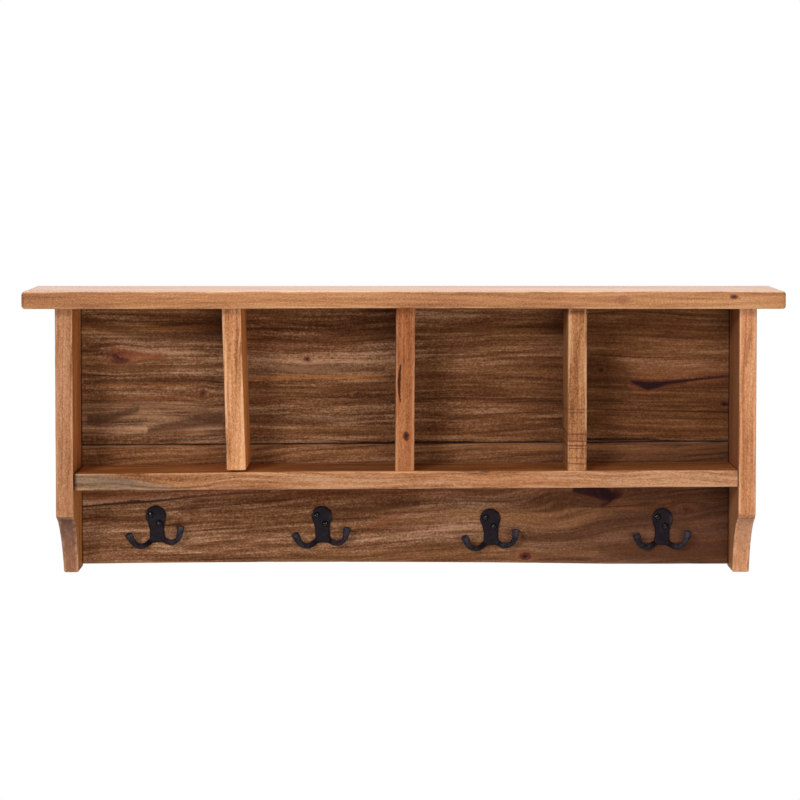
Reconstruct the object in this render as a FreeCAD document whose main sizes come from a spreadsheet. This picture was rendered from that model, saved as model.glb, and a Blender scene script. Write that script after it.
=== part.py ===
import FreeCAD, Part
import math
import os
import Sketcher

# A wall coat rack of solid boards: four open cubbies over a rail that carries four double hooks.
# Millimetres: X runs to the viewer's right, Y into the wall and Z up.
# The origin lies on the wall plane, midway between the entry holes of the two keyhole hangers.

DIMENSIONS = {
    # Top board
    "top_length": 914.4,
    "top_depth": 178.0,
    "top_thickness": 20.0,
    "top_shift": 3.0,
    "top_ease": 2.2,
    # Side panels: straight front, short slanted nose, then a scooped foot
    "front_overhang": 36.5,
    "end_overhang": 33.9,
    "side_thickness": 21.0,
    "side_height": 329.6,
    "cove_height": 71.6,
    "nose_setback": 11.5,
    "nose_drop": 5.0,
    "foot_setback": 74.0,
    "cove_radius": 95.0,
    # Back boards, one above the other, between the sides; they meet above the shelf's top
    "back_thickness": 18.0,
    "back_joint_rise": 25.8,
    "back_joint_gap": 0.8,
    "rail_rise": 4.7,
    # Shelf and dividers; the shelf leaves room for the hooks, and it and the back joint fall to the left
    "hook_room": 109.7,
    "shelf_thickness": 20.5,
    "board_fall": 4.4,
    "divider_thickness": 23.0,
    "left_divider_set": 4.0,
    "left_divider_lean": 5.8,
    "center_divider_set": 0.4,
    "center_divider_lean": -1.2,
    "right_divider_set": 0.0,
    "right_divider_lean": 0.0,
    "edge_ease": 1.4,
    # Dowels
    "dowel_radius": 4.0,
    "dowel_in_face": 12.0,
    "dowel_in_end": 18.0,
    "dowel_setback": 30.0,
    "dowel_clearance": 0.1,
    "dowel_end_room": 0.5,
    # Countersunk screws from the rear
    "back_screw_radius": 2.0,
    "back_screw_head_radius": 4.0,
    "back_screw_length": 42.0,
    # Keyhole hangers
    "hanger_drop": 95.0,
    "hanger_spacing": 406.4,
    "hanger_width": 20.0,
    "hanger_height": 50.0,
    "hanger_thickness": 2.0,
    "hanger_rise": 4.0,
    "hanger_corner": 3.0,
    "keyhole_entry_radius": 4.75,
    "keyhole_slot_width": 5.0,
    "keyhole_slot_rise": 11.0,
    "keyhole_room": 1.0,
    "keyhole_pocket_depth": 9.0,
    "hanger_screw_reach": 20.0,
    "hanger_screw_radius": 1.6,
    "hanger_screw_head_radius": 3.2,
    "hanger_screw_length": 13.0,
    # Cast double hooks: a shield plate and two prongs that splay outwards
    "hook_height": 63.6,
    "hook_head_radius": 12.7,
    "hook_waist": 18.8,
    "hook_waist_drop": 26.0,
    "hook_foot": 24.0,
    "hook_foot_drop": 34.6,
    "hook_crotch_drop": 33.0,
    "hook_thickness": 5.0,
    "hook_ease": 1.6,
    "prong_root_offset": 9.0,
    "prong_root_depth": 1.8,
    "prong_root_drop": 31.2,
    "prong_splay": 44.0,
    "prong_root_radius": 3.7,
    "prong_bend_radius": 3.4,
    "prong_rise_radius": 4.2,
    "prong_tip_radius": 5.2,
    "prong_tip_ease": 1.1,
    "left_prong_low_reach": 19.2,
    "left_prong_low_drop": 35.5,
    "left_prong_tip_reach": 33.8,
    "left_prong_tip_drop": 18.4,
    "left_prong_rise_angle": 60.0,
    "right_prong_low_reach": 17.2,
    "right_prong_low_drop": 33.9,
    "right_prong_tip_reach": 31.0,
    "right_prong_tip_drop": 13.2,
    "right_prong_rise_angle": 78.0,
    # Where each hook sits: right of its bay's centre, above the common height, and its lean
    "hook_1_shift": 0.3,
    "hook_1_rise": 1.8,
    "hook_1_lean": 4.2,
    "hook_2_shift": -0.2,
    "hook_2_rise": 1.2,
    "hook_2_lean": 2.2,
    "hook_3_shift": 2.1,
    "hook_3_rise": -2.0,
    "hook_3_lean": 2.9,
    "hook_4_shift": 9.3,
    "hook_4_rise": -1.8,
    "hook_4_lean": -1.4,
    # Round-head screws of the hooks
    "hook_screw_radius": 1.9,
    "hook_screw_head_radius": 4.1,
    "hook_screw_dome": 2.7,
    "hook_screw_length": 15.0,
    "upper_screw_offset": 6.0,
    "upper_screw_rise": 2.0,
    "lower_screw_offset": 3.8,
    "lower_screw_drop": 9.5,
    "screw_clearance": 0.1,
    # One overrun for all cuts
    "overrun": 1.0,
}

# Shares of the sizes that they follow
BACK_DOWEL_SHARES = (0.2, 0.8)
DIVIDER_SCREW_SHARES = (0.12, 0.85)
SCREW_TIP_SHARE = 0.25
RECESS_REACH_SHARE = 0.55
RECESS_ARM_SHARE = 0.15
RECESS_DEPTH_SHARE = 0.5

os.makedirs("parts", exist_ok=True)
doc = FreeCAD.newDocument("wall_coat_rack")
sheet = doc.addObject("Spreadsheet::Sheet", "dims")
for row, (alias, number) in enumerate(DIMENSIONS.items(), start=1):
    sheet.set(f"A{row}", alias)
    sheet.set(f"B{row}", str(number))
    sheet.setAlias(f"B{row}", alias)
doc.recompute()

# Formulas that several pieces share
SIDE_SPAN = "(dims.top_length - 2 * dims.end_overhang)"
INNER_SPAN = f"({SIDE_SPAN} - 2 * dims.side_thickness)"
SIDE_DEPTH = "(dims.top_depth - dims.front_overhang)"
CUBBY_DEPTH = f"({SIDE_DEPTH} - dims.back_thickness)"
UNDER_TOP = "(dims.hanger_drop - dims.top_thickness)"
FOOT_LEVEL = f"({UNDER_TOP} - dims.side_height)"
CUBBY_HEIGHT = "(dims.side_height - dims.hook_room - dims.shelf_thickness)"
UPPER_BACK_WIDTH = f"({CUBBY_HEIGHT} - dims.back_joint_rise)"
FALL_RATE = f"(dims.board_fall / {INNER_SPAN})"
BAY_PITCH = f"(({INNER_SPAN} + dims.divider_thickness) / 4)"
FRONT_DOWEL_Y = f"(dims.dowel_setback - {SIDE_DEPTH})"
REAR_DOWEL_Y = "(0 - dims.back_thickness - dims.dowel_setback)"
DOWEL_HOLE = "(dims.dowel_radius + dims.dowel_clearance)"
FACE_DEPTH = "(dims.dowel_in_face + dims.dowel_end_room)"
END_DEPTH = "(dims.dowel_in_end + dims.dowel_end_room)"
DOWEL_ROWS = (FRONT_DOWEL_Y, REAR_DOWEL_Y)


def value(formula):
    """The number that a formula over the sheet gives."""
    return float(sheet.evalExpression(formula))


def vector(x, y, z):
    return FreeCAD.Vector(value(x), value(y), value(z))


def shelf_top_at(x):
    """Height of the shelf's top face at the place x."""
    return f"({UNDER_TOP} - {CUBBY_HEIGHT} + ({x}) * {FALL_RATE})"


# Sketches and features inside a body

def new_body(label, x, y, z):
    body = doc.addObject("PartDesign::Body", label)
    body.Label = label
    body.setExpression("Placement.Base.x", x)
    body.setExpression("Placement.Base.y", y)
    body.setExpression("Placement.Base.z", z)
    return body


def new_sketch(body, name, role, offset="0"):
    plane = [feature for feature in body.Origin.OriginFeatures if feature.Role == role][0]
    sketch = body.newObject("Sketcher::SketchObject", name)
    sketch.AttachmentSupport = (plane, [""])
    sketch.MapMode = "FlatFace"
    sketch.setExpression("AttachmentOffset.Base.z", offset)
    return sketch


def pin(sketch, geometry, point, u, v):
    """Holds a point of the sketch at u, v, each a formula."""
    for kind, formula in (("DistanceX", u), ("DistanceY", v)):
        number = sketch.addConstraint(Sketcher.Constraint(kind, -1, 1, geometry, point, value(formula)))
        sketch.setExpression(f"Constraints[{number}]", formula)


def hold_radius(sketch, geometry, radius):
    number = sketch.addConstraint(Sketcher.Constraint("Radius", geometry, value(radius)))
    sketch.setExpression(f"Constraints[{number}]", radius)


def outline(sketch, corners, scoops=None):
    """A closed outline through the corners; scoops gives the radius of an edge that curves inwards."""
    scoops = scoops or {}
    points = [FreeCAD.Vector(value(u), value(v), 0) for u, v in corners]
    for index, start in enumerate(points):
        end = points[(index + 1) % len(points)]
        if index in scoops:
            chord = end - start
            side = FreeCAD.Vector(chord.y, -chord.x, 0).normalize()
            radius = value(scoops[index])
            centre = start + chord * 0.5 + side * math.sqrt(radius ** 2 - (chord.Length / 2) ** 2)
            first = math.atan2(end.y - centre.y, end.x - centre.x)
            last = math.atan2(start.y - centre.y, start.x - centre.x)
            circle = Part.Circle(centre, FreeCAD.Vector(0, 0, 1), radius)
            arc = sketch.addGeometry(Part.ArcOfCircle(circle, first, last))
            pin(sketch, arc, 2, *corners[index])
            pin(sketch, arc, 1, *corners[(index + 1) % len(points)])
            hold_radius(sketch, arc, scoops[index])
        else:
            line = sketch.addGeometry(Part.LineSegment(start, end))
            pin(sketch, line, 1, *corners[index])
            pin(sketch, line, 2, *corners[(index + 1) % len(points)])


def pad(body, name, sketch, length):
    feature = body.newObject("PartDesign::Pad", name)
    feature.Profile = sketch
    feature.setExpression("Length", length)
    body.Tip = feature
    doc.recompute()
    return feature


def pocket(body, name, sketch, depth, reverse=False):
    before = body.Shape.Volume
    feature = body.newObject("PartDesign::Pocket", name)
    feature.Profile = sketch
    feature.Reversed = reverse
    feature.setExpression("Length", depth)
    body.Tip = feature
    doc.recompute()
    if body.Shape.Volume >= before:
        raise RuntimeError(f"{body.Label}: {name} cut nothing")
    return feature


def drill(body, name, role, face, centres, radius, depth, reverse=False):
    """Round blind holes of one radius and depth, from one face."""
    sketch = new_sketch(body, name + "_circles", role, face)
    for u, v in centres:
        centre = FreeCAD.Vector(value(u), value(v), 0)
        circle = sketch.addGeometry(Part.Circle(centre, FreeCAD.Vector(0, 0, 1), value(radius)))
        pin(sketch, circle, 3, u, v)
        hold_radius(sketch, circle, radius)
    return pocket(body, name, sketch, depth, reverse)


def countersink(body, name, places, radius, head_radius):
    """Conical seats for screw heads in the rear face; the places are x, z in the body."""
    before = body.Shape.Volume
    for number, (x, z) in enumerate(places, start=1):
        cone = body.newObject("PartDesign::SubtractiveCone", f"{name}_{number}")
        cone.Placement = FreeCAD.Placement(FreeCAD.Vector(), FreeCAD.Rotation(FreeCAD.Vector(1, 0, 0), 90))
        cone.setExpression("Placement.Base.x", x)
        cone.setExpression("Placement.Base.z", z)
        cone.setExpression("Radius1", f"{head_radius} + dims.screw_clearance")
        cone.setExpression("Radius2", f"{radius} + dims.screw_clearance")
        cone.setExpression("Height", f"{head_radius} - {radius}")
        body.Tip = cone
    doc.recompute()
    if body.Shape.Volume >= before:
        raise RuntimeError(f"{body.Label}: {name} cut nothing")


def ease(body, name, radius, test):
    """Rounds the edges whose middle and ends pass the test."""
    base = body.Tip
    names = []
    for number, edge in enumerate(base.Shape.Edges, start=1):
        ends = [vertex.Point for vertex in edge.Vertexes]
        middle = edge.valueAt((edge.FirstParameter + edge.LastParameter) / 2)
        if test(middle, ends):
            names.append(f"Edge{number}")
    feature = body.newObject("PartDesign::Fillet", name)
    feature.Base = (base, names)
    feature.setExpression("Radius", radius)
    body.Tip = feature
    doc.recompute()


def near(first, second):
    """True where two places are the same but for rounding."""
    return abs(first - second) < value("dims.screw_clearance") / 100


# Where the dividers stand

DIVIDERS = {
    "left_divider": (f"(0 - {BAY_PITCH} - dims.left_divider_set)", "dims.left_divider_lean"),
    "center_divider": ("(0 - dims.center_divider_set)", "dims.center_divider_lean"),
    "right_divider": (f"({BAY_PITCH} + dims.right_divider_set)", "dims.right_divider_lean"),
}


def divider_height(head_x, lean):
    return f"({CUBBY_HEIGHT} - (({head_x}) + ({lean})) * {FALL_RATE})"


def divider_x_at(head_x, lean, drop):
    """Middle of a divider at a drop below the top board's underside."""
    return f"(({head_x}) + ({lean}) * ({drop}) / {divider_height(head_x, lean)})"


# Where the hooks sit, each given by its number and its bay

HOOK_BAYS = {1: "-1.5", 2: "-0.5", 3: "0.5", 4: "1.5"}
HOOK_SCREWS = {
    "upper": ("(0 - dims.upper_screw_offset)", "dims.upper_screw_rise"),
    "lower": ("dims.lower_screw_offset", "(0 - dims.lower_screw_drop)"),
}


def hook_x(number):
    return f"({HOOK_BAYS[number]} * {BAY_PITCH} + dims.hook_{number}_shift)"


def hook_z(number):
    return f"({FOOT_LEVEL} + dims.hook_height + dims.hook_{number}_rise)"


def hook_screw_place(number, which):
    """X and Z of a hook screw, turned with its hook."""
    across, up = HOOK_SCREWS[which]
    lean = f"dims.hook_{number}_lean * 1 deg"
    x = f"({hook_x(number)} + {across} * cos({lean}) - {up} * sin({lean}))"
    z = f"({hook_z(number)} + {across} * sin({lean}) + {up} * cos({lean}))"
    return x, z


# Where the rear screws, end dowels and hangers go

SHELF_SCREW_X = [f"({share} * {BAY_PITCH})" for share in HOOK_BAYS.values()]
SHELF_SCREWS = [(x, f"({shelf_top_at(x)} - dims.shelf_thickness / 2)") for x in SHELF_SCREW_X]
DIVIDER_SCREWS = []
for head_x, lean in DIVIDERS.values():
    for share in DIVIDER_SCREW_SHARES:
        screw_drop = f"({share} * {UPPER_BACK_WIDTH})"
        DIVIDER_SCREWS.append((divider_x_at(head_x, lean, screw_drop), f"({UNDER_TOP} - {screw_drop})"))
RAIL_WIDTH = f"(dims.side_height - {UPPER_BACK_WIDTH} - dims.back_joint_gap - dims.rail_rise)"
BACK_DOWEL_HEIGHTS = [f"({UNDER_TOP} - {share} * {UPPER_BACK_WIDTH})" for share in BACK_DOWEL_SHARES]
BACK_DOWEL_HEIGHTS += [f"({FOOT_LEVEL} + dims.rail_rise + {share} * {RAIL_WIDTH})" for share in BACK_DOWEL_SHARES]
BACK_DOWEL_Y = "(0 - dims.back_thickness / 2)"
SIDE_MIDDLE = f"(({SIDE_SPAN} - dims.side_thickness) / 2)"
HANGERS = {"left": "(0 - dims.hanger_spacing / 2)", "right": "(dims.hanger_spacing / 2)"}
HANGER_SCREW_Z = ("(dims.hanger_rise + dims.hanger_screw_reach)", "(dims.hanger_rise - dims.hanger_screw_reach)")


def shelf_end_z(side):
    """Middle of the shelf's thickness at its left (-1) or right (1) end."""
    return f"({UNDER_TOP} - {CUBBY_HEIGHT} - dims.shelf_thickness / 2 + {side} * dims.board_fall / 2)"


# Top board

TOP_LEFT = "(0 - dims.top_length / 2 - dims.top_shift)"
top_board = new_body("top_board", TOP_LEFT, "0 - dims.top_depth", UNDER_TOP)
top_sketch = new_sketch(top_board, "top_outline", "XY_Plane")
outline(top_sketch, [("0", "0"), ("dims.top_length", "0"), ("dims.top_length", "dims.top_depth"),
                     ("0", "dims.top_depth")])
pad(top_board, "top_blank", top_sketch, "dims.top_thickness")
ease(top_board, "top_eased", "dims.top_ease", lambda middle, ends: True)
TOP_DOWEL_X = [f"(0 - {SIDE_MIDDLE})", SIDE_MIDDLE] + [head_x for head_x, lean in DIVIDERS.values()]
top_holes = [(f"({x} - {TOP_LEFT})", f"({y} + dims.top_depth)") for x in TOP_DOWEL_X for y in DOWEL_ROWS]
drill(top_board, "top_dowel_holes", "XY_Plane", "0", top_holes, DOWEL_HOLE, FACE_DEPTH, reverse=True)

# Side panels

SIDE_OUTLINE = [
    ("0", "0"),
    (f"0 - {SIDE_DEPTH}", "0"),
    (f"0 - {SIDE_DEPTH}", "dims.cove_height + dims.nose_drop - dims.side_height"),
    (f"dims.nose_setback - {SIDE_DEPTH}", "dims.cove_height - dims.side_height"),
    (f"dims.foot_setback - {SIDE_DEPTH}", "0 - dims.side_height"),
    ("0", "0 - dims.side_height"),
]
COVE_EDGE = 3


def side_panel(label, outer_x, side):
    """One side panel; its inner face is at the local X of its thickness on the left, of zero on the right."""
    body = new_body(label, outer_x, "0", UNDER_TOP)
    sketch = new_sketch(body, label + "_outline", "YZ_Plane")
    outline(sketch, SIDE_OUTLINE, {COVE_EDGE: "dims.cove_radius"})
    pad(body, label + "_blank", sketch, "dims.side_thickness")
    foot = value("0 - dims.side_height")
    nose_foot = value("dims.cove_height - dims.side_height")

    def on_front(middle, ends):
        along = near(ends[0].x, ends[1].x)
        kept = (0, foot, nose_foot)
        return along and not near(middle.y, 0) and not any(near(middle.z, z) for z in kept)

    ease(body, label + "_eased", "dims.edge_ease", on_front)
    inner = "dims.side_thickness" if side < 0 else "0"
    inwards = side > 0
    shelf_holes = [(y, f"({shelf_end_z(side)} - {UNDER_TOP})") for y in DOWEL_ROWS]
    back_holes = [(BACK_DOWEL_Y, f"({z} - {UNDER_TOP})") for z in BACK_DOWEL_HEIGHTS]
    drill(body, label + "_holes", "YZ_Plane", inner, shelf_holes + back_holes, DOWEL_HOLE, FACE_DEPTH, inwards)
    head_holes = [("dims.side_thickness / 2", y) for y in DOWEL_ROWS]
    drill(body, label + "_head_holes", "XY_Plane", "0", head_holes, DOWEL_HOLE, END_DEPTH)
    return body


left_side = side_panel("left_side_panel", f"0 - {SIDE_SPAN} / 2", -1)
right_side = side_panel("right_side_panel", f"{SIDE_SPAN} / 2 - dims.side_thickness", 1)

# Cubby shelf: a board between the sides, a little lower at its left end

SHELF_LEFT = f"(0 - {INNER_SPAN} / 2)"
SHELF_BOTTOM = f"({UNDER_TOP} - {CUBBY_HEIGHT} - dims.shelf_thickness - dims.board_fall / 2)"
shelf = new_body("cubby_shelf", SHELF_LEFT, "0 - dims.back_thickness", SHELF_BOTTOM)
shelf_sketch = new_sketch(shelf, "shelf_outline", "XZ_Plane")
outline(shelf_sketch, [("0", "0"), (INNER_SPAN, "dims.board_fall"),
                       (INNER_SPAN, "dims.board_fall + dims.shelf_thickness"), ("0", "dims.shelf_thickness")])
pad(shelf, "shelf_blank", shelf_sketch, CUBBY_DEPTH)
shelf_front = value(f"0 - {CUBBY_DEPTH}")


def along_front(middle, ends):
    """True for the long edges of a board's front face."""
    flat = near(ends[0].y, shelf_front) and near(ends[1].y, shelf_front)
    return flat and not near(ends[0].x, ends[1].x)


ease(shelf, "shelf_eased", "dims.edge_ease", along_front)
for name, side, face, reverse in (("left", -1, "0", True), ("right", 1, INNER_SPAN, False)):
    centres = [(f"({y} + dims.back_thickness)", f"({shelf_end_z(side)} - {SHELF_BOTTOM})") for y in DOWEL_ROWS]
    drill(shelf, f"shelf_{name}_end_holes", "YZ_Plane", face, centres, DOWEL_HOLE, END_DEPTH, reverse)
foot_x = [f"({head_x} + {lean})" for head_x, lean in DIVIDERS.values()]
for number, x in enumerate(foot_x, start=1):
    centres = [(f"({x} - {SHELF_LEFT})", f"({y} + dims.back_thickness)") for y in DOWEL_ROWS]
    face = f"({shelf_top_at(x)} - {SHELF_BOTTOM} + dims.overrun)"
    drill(shelf, f"shelf_foot_holes_{number}", "XY_Plane", face, centres, DOWEL_HOLE,
          f"{FACE_DEPTH} + dims.overrun")
shelf_pilots = [(f"({x} - {SHELF_LEFT})", f"({z} - {SHELF_BOTTOM})") for x, z in SHELF_SCREWS]
drill(shelf, "shelf_pilot_holes", "XZ_Plane", "0 - dims.overrun", shelf_pilots,
      "(dims.back_screw_radius + dims.screw_clearance)",
      "dims.back_screw_length - dims.back_thickness + 2 * dims.overrun", reverse=True)

# Dividers: boards between the top and the shelf, whose feet follow the shelf

def divider(label, head_x, lean):
    half = "dims.divider_thickness / 2"
    body = new_body(label, head_x, "0 - dims.back_thickness", UNDER_TOP)
    foot = divider_height(head_x, lean)
    step = f"{half} * {FALL_RATE}"
    sketch = new_sketch(body, label + "_outline", "XZ_Plane")
    outline(sketch, [(f"0 - {half}", "0"), (f"0 - {half} + {lean}", f"0 - {foot} - {step}"),
                     (f"{half} + {lean}", f"0 - {foot} + {step}"), (half, "0")])
    pad(body, label + "_blank", sketch, CUBBY_DEPTH)

    def upright_front(middle, ends):
        flat = near(ends[0].y, shelf_front) and near(ends[1].y, shelf_front)
        return flat and not near(ends[0].z, ends[1].z) and abs(ends[0].z - ends[1].z) > value(half)

    ease(body, label + "_eased", "dims.edge_ease", upright_front)
    rows = [f"({y} + dims.back_thickness)" for y in DOWEL_ROWS]
    drill(body, label + "_head_holes", "XY_Plane", "0", [("0", y) for y in rows], DOWEL_HOLE, END_DEPTH)
    drill(body, label + "_foot_holes", "XY_Plane", f"0 - {foot} - dims.overrun", [(lean, y) for y in rows],
          DOWEL_HOLE, f"{END_DEPTH} + dims.overrun", reverse=True)
    pilots = []
    for share in DIVIDER_SCREW_SHARES:
        drop = f"({share} * {UPPER_BACK_WIDTH})"
        pilots.append((f"({divider_x_at(head_x, lean, drop)} - {head_x})", f"0 - {drop}"))
    drill(body, label + "_pilot_holes", "XZ_Plane", "0 - dims.overrun", pilots,
          "(dims.back_screw_radius + dims.screw_clearance)",
          "dims.back_screw_length - dims.back_thickness + 2 * dims.overrun", reverse=True)
    return body


dividers = [divider(label, head_x, lean) for label, (head_x, lean) in DIVIDERS.items()]

# Upper back board, with the recesses of the two hangers in its rear face

back_front = value("0 - dims.back_thickness")


def front_lengthwise(middle, ends):
    flat = near(ends[0].y, back_front) and near(ends[1].y, back_front)
    return flat and not near(ends[0].x, ends[1].x) and not near(middle.z, 0)


def rear_screw_holes(body, name, places, left, bottom):
    """Clearance holes and countersinks through a back board."""
    local = [(f"({x} - {left})", f"({z} - {bottom})") for x, z in places]
    radius = "(dims.back_screw_radius + dims.screw_clearance)"
    drill(body, name + "_holes", "XZ_Plane", "0 - dims.overrun", local, radius,
          "dims.back_thickness + 2 * dims.overrun", reverse=True)
    countersink(body, name + "_seat", local, "dims.back_screw_radius", "dims.back_screw_head_radius")


def back_end_holes(body, name, heights, bottom):
    for side, face, reverse in (("left", "0", True), ("right", INNER_SPAN, False)):
        centres = [(BACK_DOWEL_Y, f"({z} - {bottom})") for z in heights]
        drill(body, f"{name}_{side}_end_holes", "YZ_Plane", face, centres, DOWEL_HOLE, END_DEPTH, reverse)


upper_back = new_body("upper_back_board", SHELF_LEFT, "0", UNDER_TOP)
upper_sketch = new_sketch(upper_back, "upper_back_outline", "XZ_Plane")
outline(upper_sketch, [("0", "0"), ("0", f"0 - {UPPER_BACK_WIDTH} - dims.board_fall / 2"),
                       (INNER_SPAN, f"0 - {UPPER_BACK_WIDTH} + dims.board_fall / 2"), (INNER_SPAN, "0")])
pad(upper_back, "upper_back_blank", upper_sketch, "dims.back_thickness")
ease(upper_back, "upper_back_eased", "dims.edge_ease", front_lengthwise)
back_end_holes(upper_back, "upper_back", BACK_DOWEL_HEIGHTS[:2], UNDER_TOP)
rear_screw_holes(upper_back, "divider_screw", DIVIDER_SCREWS, SHELF_LEFT, UNDER_TOP)

for side, x in HANGERS.items():
    middle_x = f"({x} - {SHELF_LEFT})"
    half = "(dims.hanger_width / 2 + dims.screw_clearance)"
    low = f"(dims.hanger_rise - dims.hanger_height / 2 - dims.screw_clearance - {UNDER_TOP})"
    high = f"(dims.hanger_rise + dims.hanger_height / 2 + dims.screw_clearance - {UNDER_TOP})"
    recess = new_sketch(upper_back, f"{side}_hanger_recess_outline", "XZ_Plane", "0 - dims.overrun")
    outline(recess, [(f"{middle_x} - {half}", low), (f"{middle_x} + {half}", low),
                     (f"{middle_x} + {half}", high), (f"{middle_x} - {half}", high)])
    pocket(upper_back, f"{side}_hanger_recess", recess, "dims.hanger_thickness + dims.overrun", reverse=True)
    room = "(dims.keyhole_entry_radius + dims.keyhole_room)"
    low = f"(0 - {room} - {UNDER_TOP})"
    high = f"(dims.keyhole_slot_rise + dims.keyhole_slot_width / 2 + dims.keyhole_room - {UNDER_TOP})"
    cavity = new_sketch(upper_back, f"{side}_keyhole_room_outline", "XZ_Plane", "0")
    outline(cavity, [(f"{middle_x} - {room}", low), (f"{middle_x} + {room}", low),
                     (f"{middle_x} + {room}", high), (f"{middle_x} - {room}", high)])
    pocket(upper_back, f"{side}_keyhole_room", cavity, "dims.hanger_thickness + dims.keyhole_pocket_depth",
           reverse=True)
    pilots = [(middle_x, f"({z} - {UNDER_TOP})") for z in HANGER_SCREW_Z]
    drill(upper_back, f"{side}_hanger_pilots", "XZ_Plane", "0", pilots,
          "(dims.hanger_screw_radius + dims.screw_clearance)",
          "dims.hanger_screw_length + dims.overrun", reverse=True)

# Lower back board, the hook rail

lower_back = new_body("lower_back_board", SHELF_LEFT, "0", FOOT_LEVEL)
lower_sketch = new_sketch(lower_back, "lower_back_outline", "XZ_Plane")
RAIL_TOP = f"(dims.side_height - {UPPER_BACK_WIDTH} - dims.back_joint_gap)"
outline(lower_sketch, [("0", "dims.rail_rise"), (INNER_SPAN, "dims.rail_rise"),
                       (INNER_SPAN, f"{RAIL_TOP} + dims.board_fall / 2"),
                       ("0", f"{RAIL_TOP} - dims.board_fall / 2")])
pad(lower_back, "lower_back_blank", lower_sketch, "dims.back_thickness")
ease(lower_back, "lower_back_eased", "dims.edge_ease", front_lengthwise)
back_end_holes(lower_back, "lower_back", BACK_DOWEL_HEIGHTS[2:], FOOT_LEVEL)
rear_screw_holes(lower_back, "shelf_screw", SHELF_SCREWS, SHELF_LEFT, FOOT_LEVEL)
hook_pilots = []
for number in HOOK_BAYS:
    for which in HOOK_SCREWS:
        x, z = hook_screw_place(number, which)
        hook_pilots.append((f"({x} - {SHELF_LEFT})", f"({z} - {FOOT_LEVEL})"))
drill(lower_back, "hook_pilot_holes", "XZ_Plane", "dims.back_thickness", hook_pilots,
      "(dims.hook_screw_radius + dims.screw_clearance)",
      "dims.hook_screw_length - dims.hook_thickness + dims.dowel_end_room")

# Patterns for dowels and screws, from which the groups are copied

dowel = doc.addObject("Part::Cylinder", "dowel_pattern")
dowel.setExpression("Radius", "dims.dowel_radius")
dowel.setExpression("Height", "dims.dowel_in_face + dims.dowel_in_end")


def cross_recess(body, head_top, head_radius, depth):
    """A cross-shaped driver recess in the top of a screw head."""
    arm = f"({RECESS_ARM_SHARE} * {head_radius})"
    reach = f"({RECESS_REACH_SHARE} * {head_radius})"
    quarter = [(reach, arm), (arm, arm), (arm, reach)]
    corners = list(quarter)
    corners += [(f"0 - {u}", v) for u, v in reversed(quarter)]
    corners += [(f"0 - {u}", f"0 - {v}") for u, v in quarter]
    corners += [(u, f"0 - {v}") for u, v in reversed(quarter)]
    sketch = new_sketch(body, body.Label + "_cross", "XY_Plane", f"{head_top} + dims.overrun")
    outline(sketch, corners)
    pocket(body, body.Label + "_recess", sketch, f"{depth} + dims.overrun")


def revolve(body, sketch):
    feature = body.newObject("PartDesign::Revolution", body.Label + "_turned")
    feature.Profile = sketch
    feature.ReferenceAxis = (sketch, ["V_Axis"])
    feature.Angle = 360
    body.Tip = feature
    doc.recompute()


def countersunk_screw(label, radius, head_radius, length):
    """A flat-head screw along Z, with the flat of its head at zero."""
    body = new_body(label, "0", "0", "0")
    sketch = new_sketch(body, label + "_profile", "XZ_Plane")
    tip = f"({SCREW_TIP_SHARE} * {length})"
    outline(sketch, [("0", "0"), ("0", f"0 - {length}"), (radius, f"{tip} - {length}"),
                     (radius, f"{radius} - {head_radius}"), (head_radius, "0")])
    revolve(body, sketch)
    cross_recess(body, "0", head_radius, f"{RECESS_DEPTH_SHARE} * {head_radius}")
    return body


def round_head_screw(label, radius, head_radius, dome, length):
    """A round-head screw along Z, with the underside of its head at zero."""
    body = new_body(label, "0", "0", "0")
    sketch = new_sketch(body, label + "_profile", "XZ_Plane")
    tip = f"({SCREW_TIP_SHARE} * {length})"
    sphere = f"(({head_radius} * {head_radius} + {dome} * {dome}) / (2 * {dome}))"
    outline(sketch, [("0", dome), (head_radius, "0"), (radius, "0"), (radius, f"{tip} - {length}"),
                     ("0", f"0 - {length}")], {0: sphere})
    revolve(body, sketch)
    cross_recess(body, dome, head_radius, f"{RECESS_DEPTH_SHARE} * {dome}")
    return body


back_screw = countersunk_screw("back_screw_pattern", "dims.back_screw_radius", "dims.back_screw_head_radius",
                               "dims.back_screw_length")
hanger_screw = countersunk_screw("hanger_screw_pattern", "dims.hanger_screw_radius",
                                 "dims.hanger_screw_head_radius", "dims.hanger_screw_length")
hook_screw = round_head_screw("hook_screw_pattern", "dims.hook_screw_radius", "dims.hook_screw_head_radius",
                              "dims.hook_screw_dome", "dims.hook_screw_length")
doc.recompute()


def group(label, pattern, places):
    """Copies of one fastener as separate solids of one node."""
    copies = []
    for place in places:
        copy = pattern.Shape.copy()
        copy.Placement = place
        copies.append(copy)
    feature = doc.addObject("Part::Feature", label)
    feature.Label = label
    feature.Shape = Part.makeCompound(copies)
    return feature


UPRIGHT = FreeCAD.Rotation()
ALONG_X = FreeCAD.Rotation(FreeCAD.Vector(0, 1, 0), 90)
AGAINST_X = FreeCAD.Rotation(FreeCAD.Vector(0, 1, 0), -90)
FACING_REAR = FreeCAD.Rotation(FreeCAD.Vector(1, 0, 0), -90)
FACING_FRONT = FreeCAD.Rotation(FreeCAD.Vector(1, 0, 0), 90)

# Dowels: each starts in the end of one board and runs into the face of the other

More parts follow.
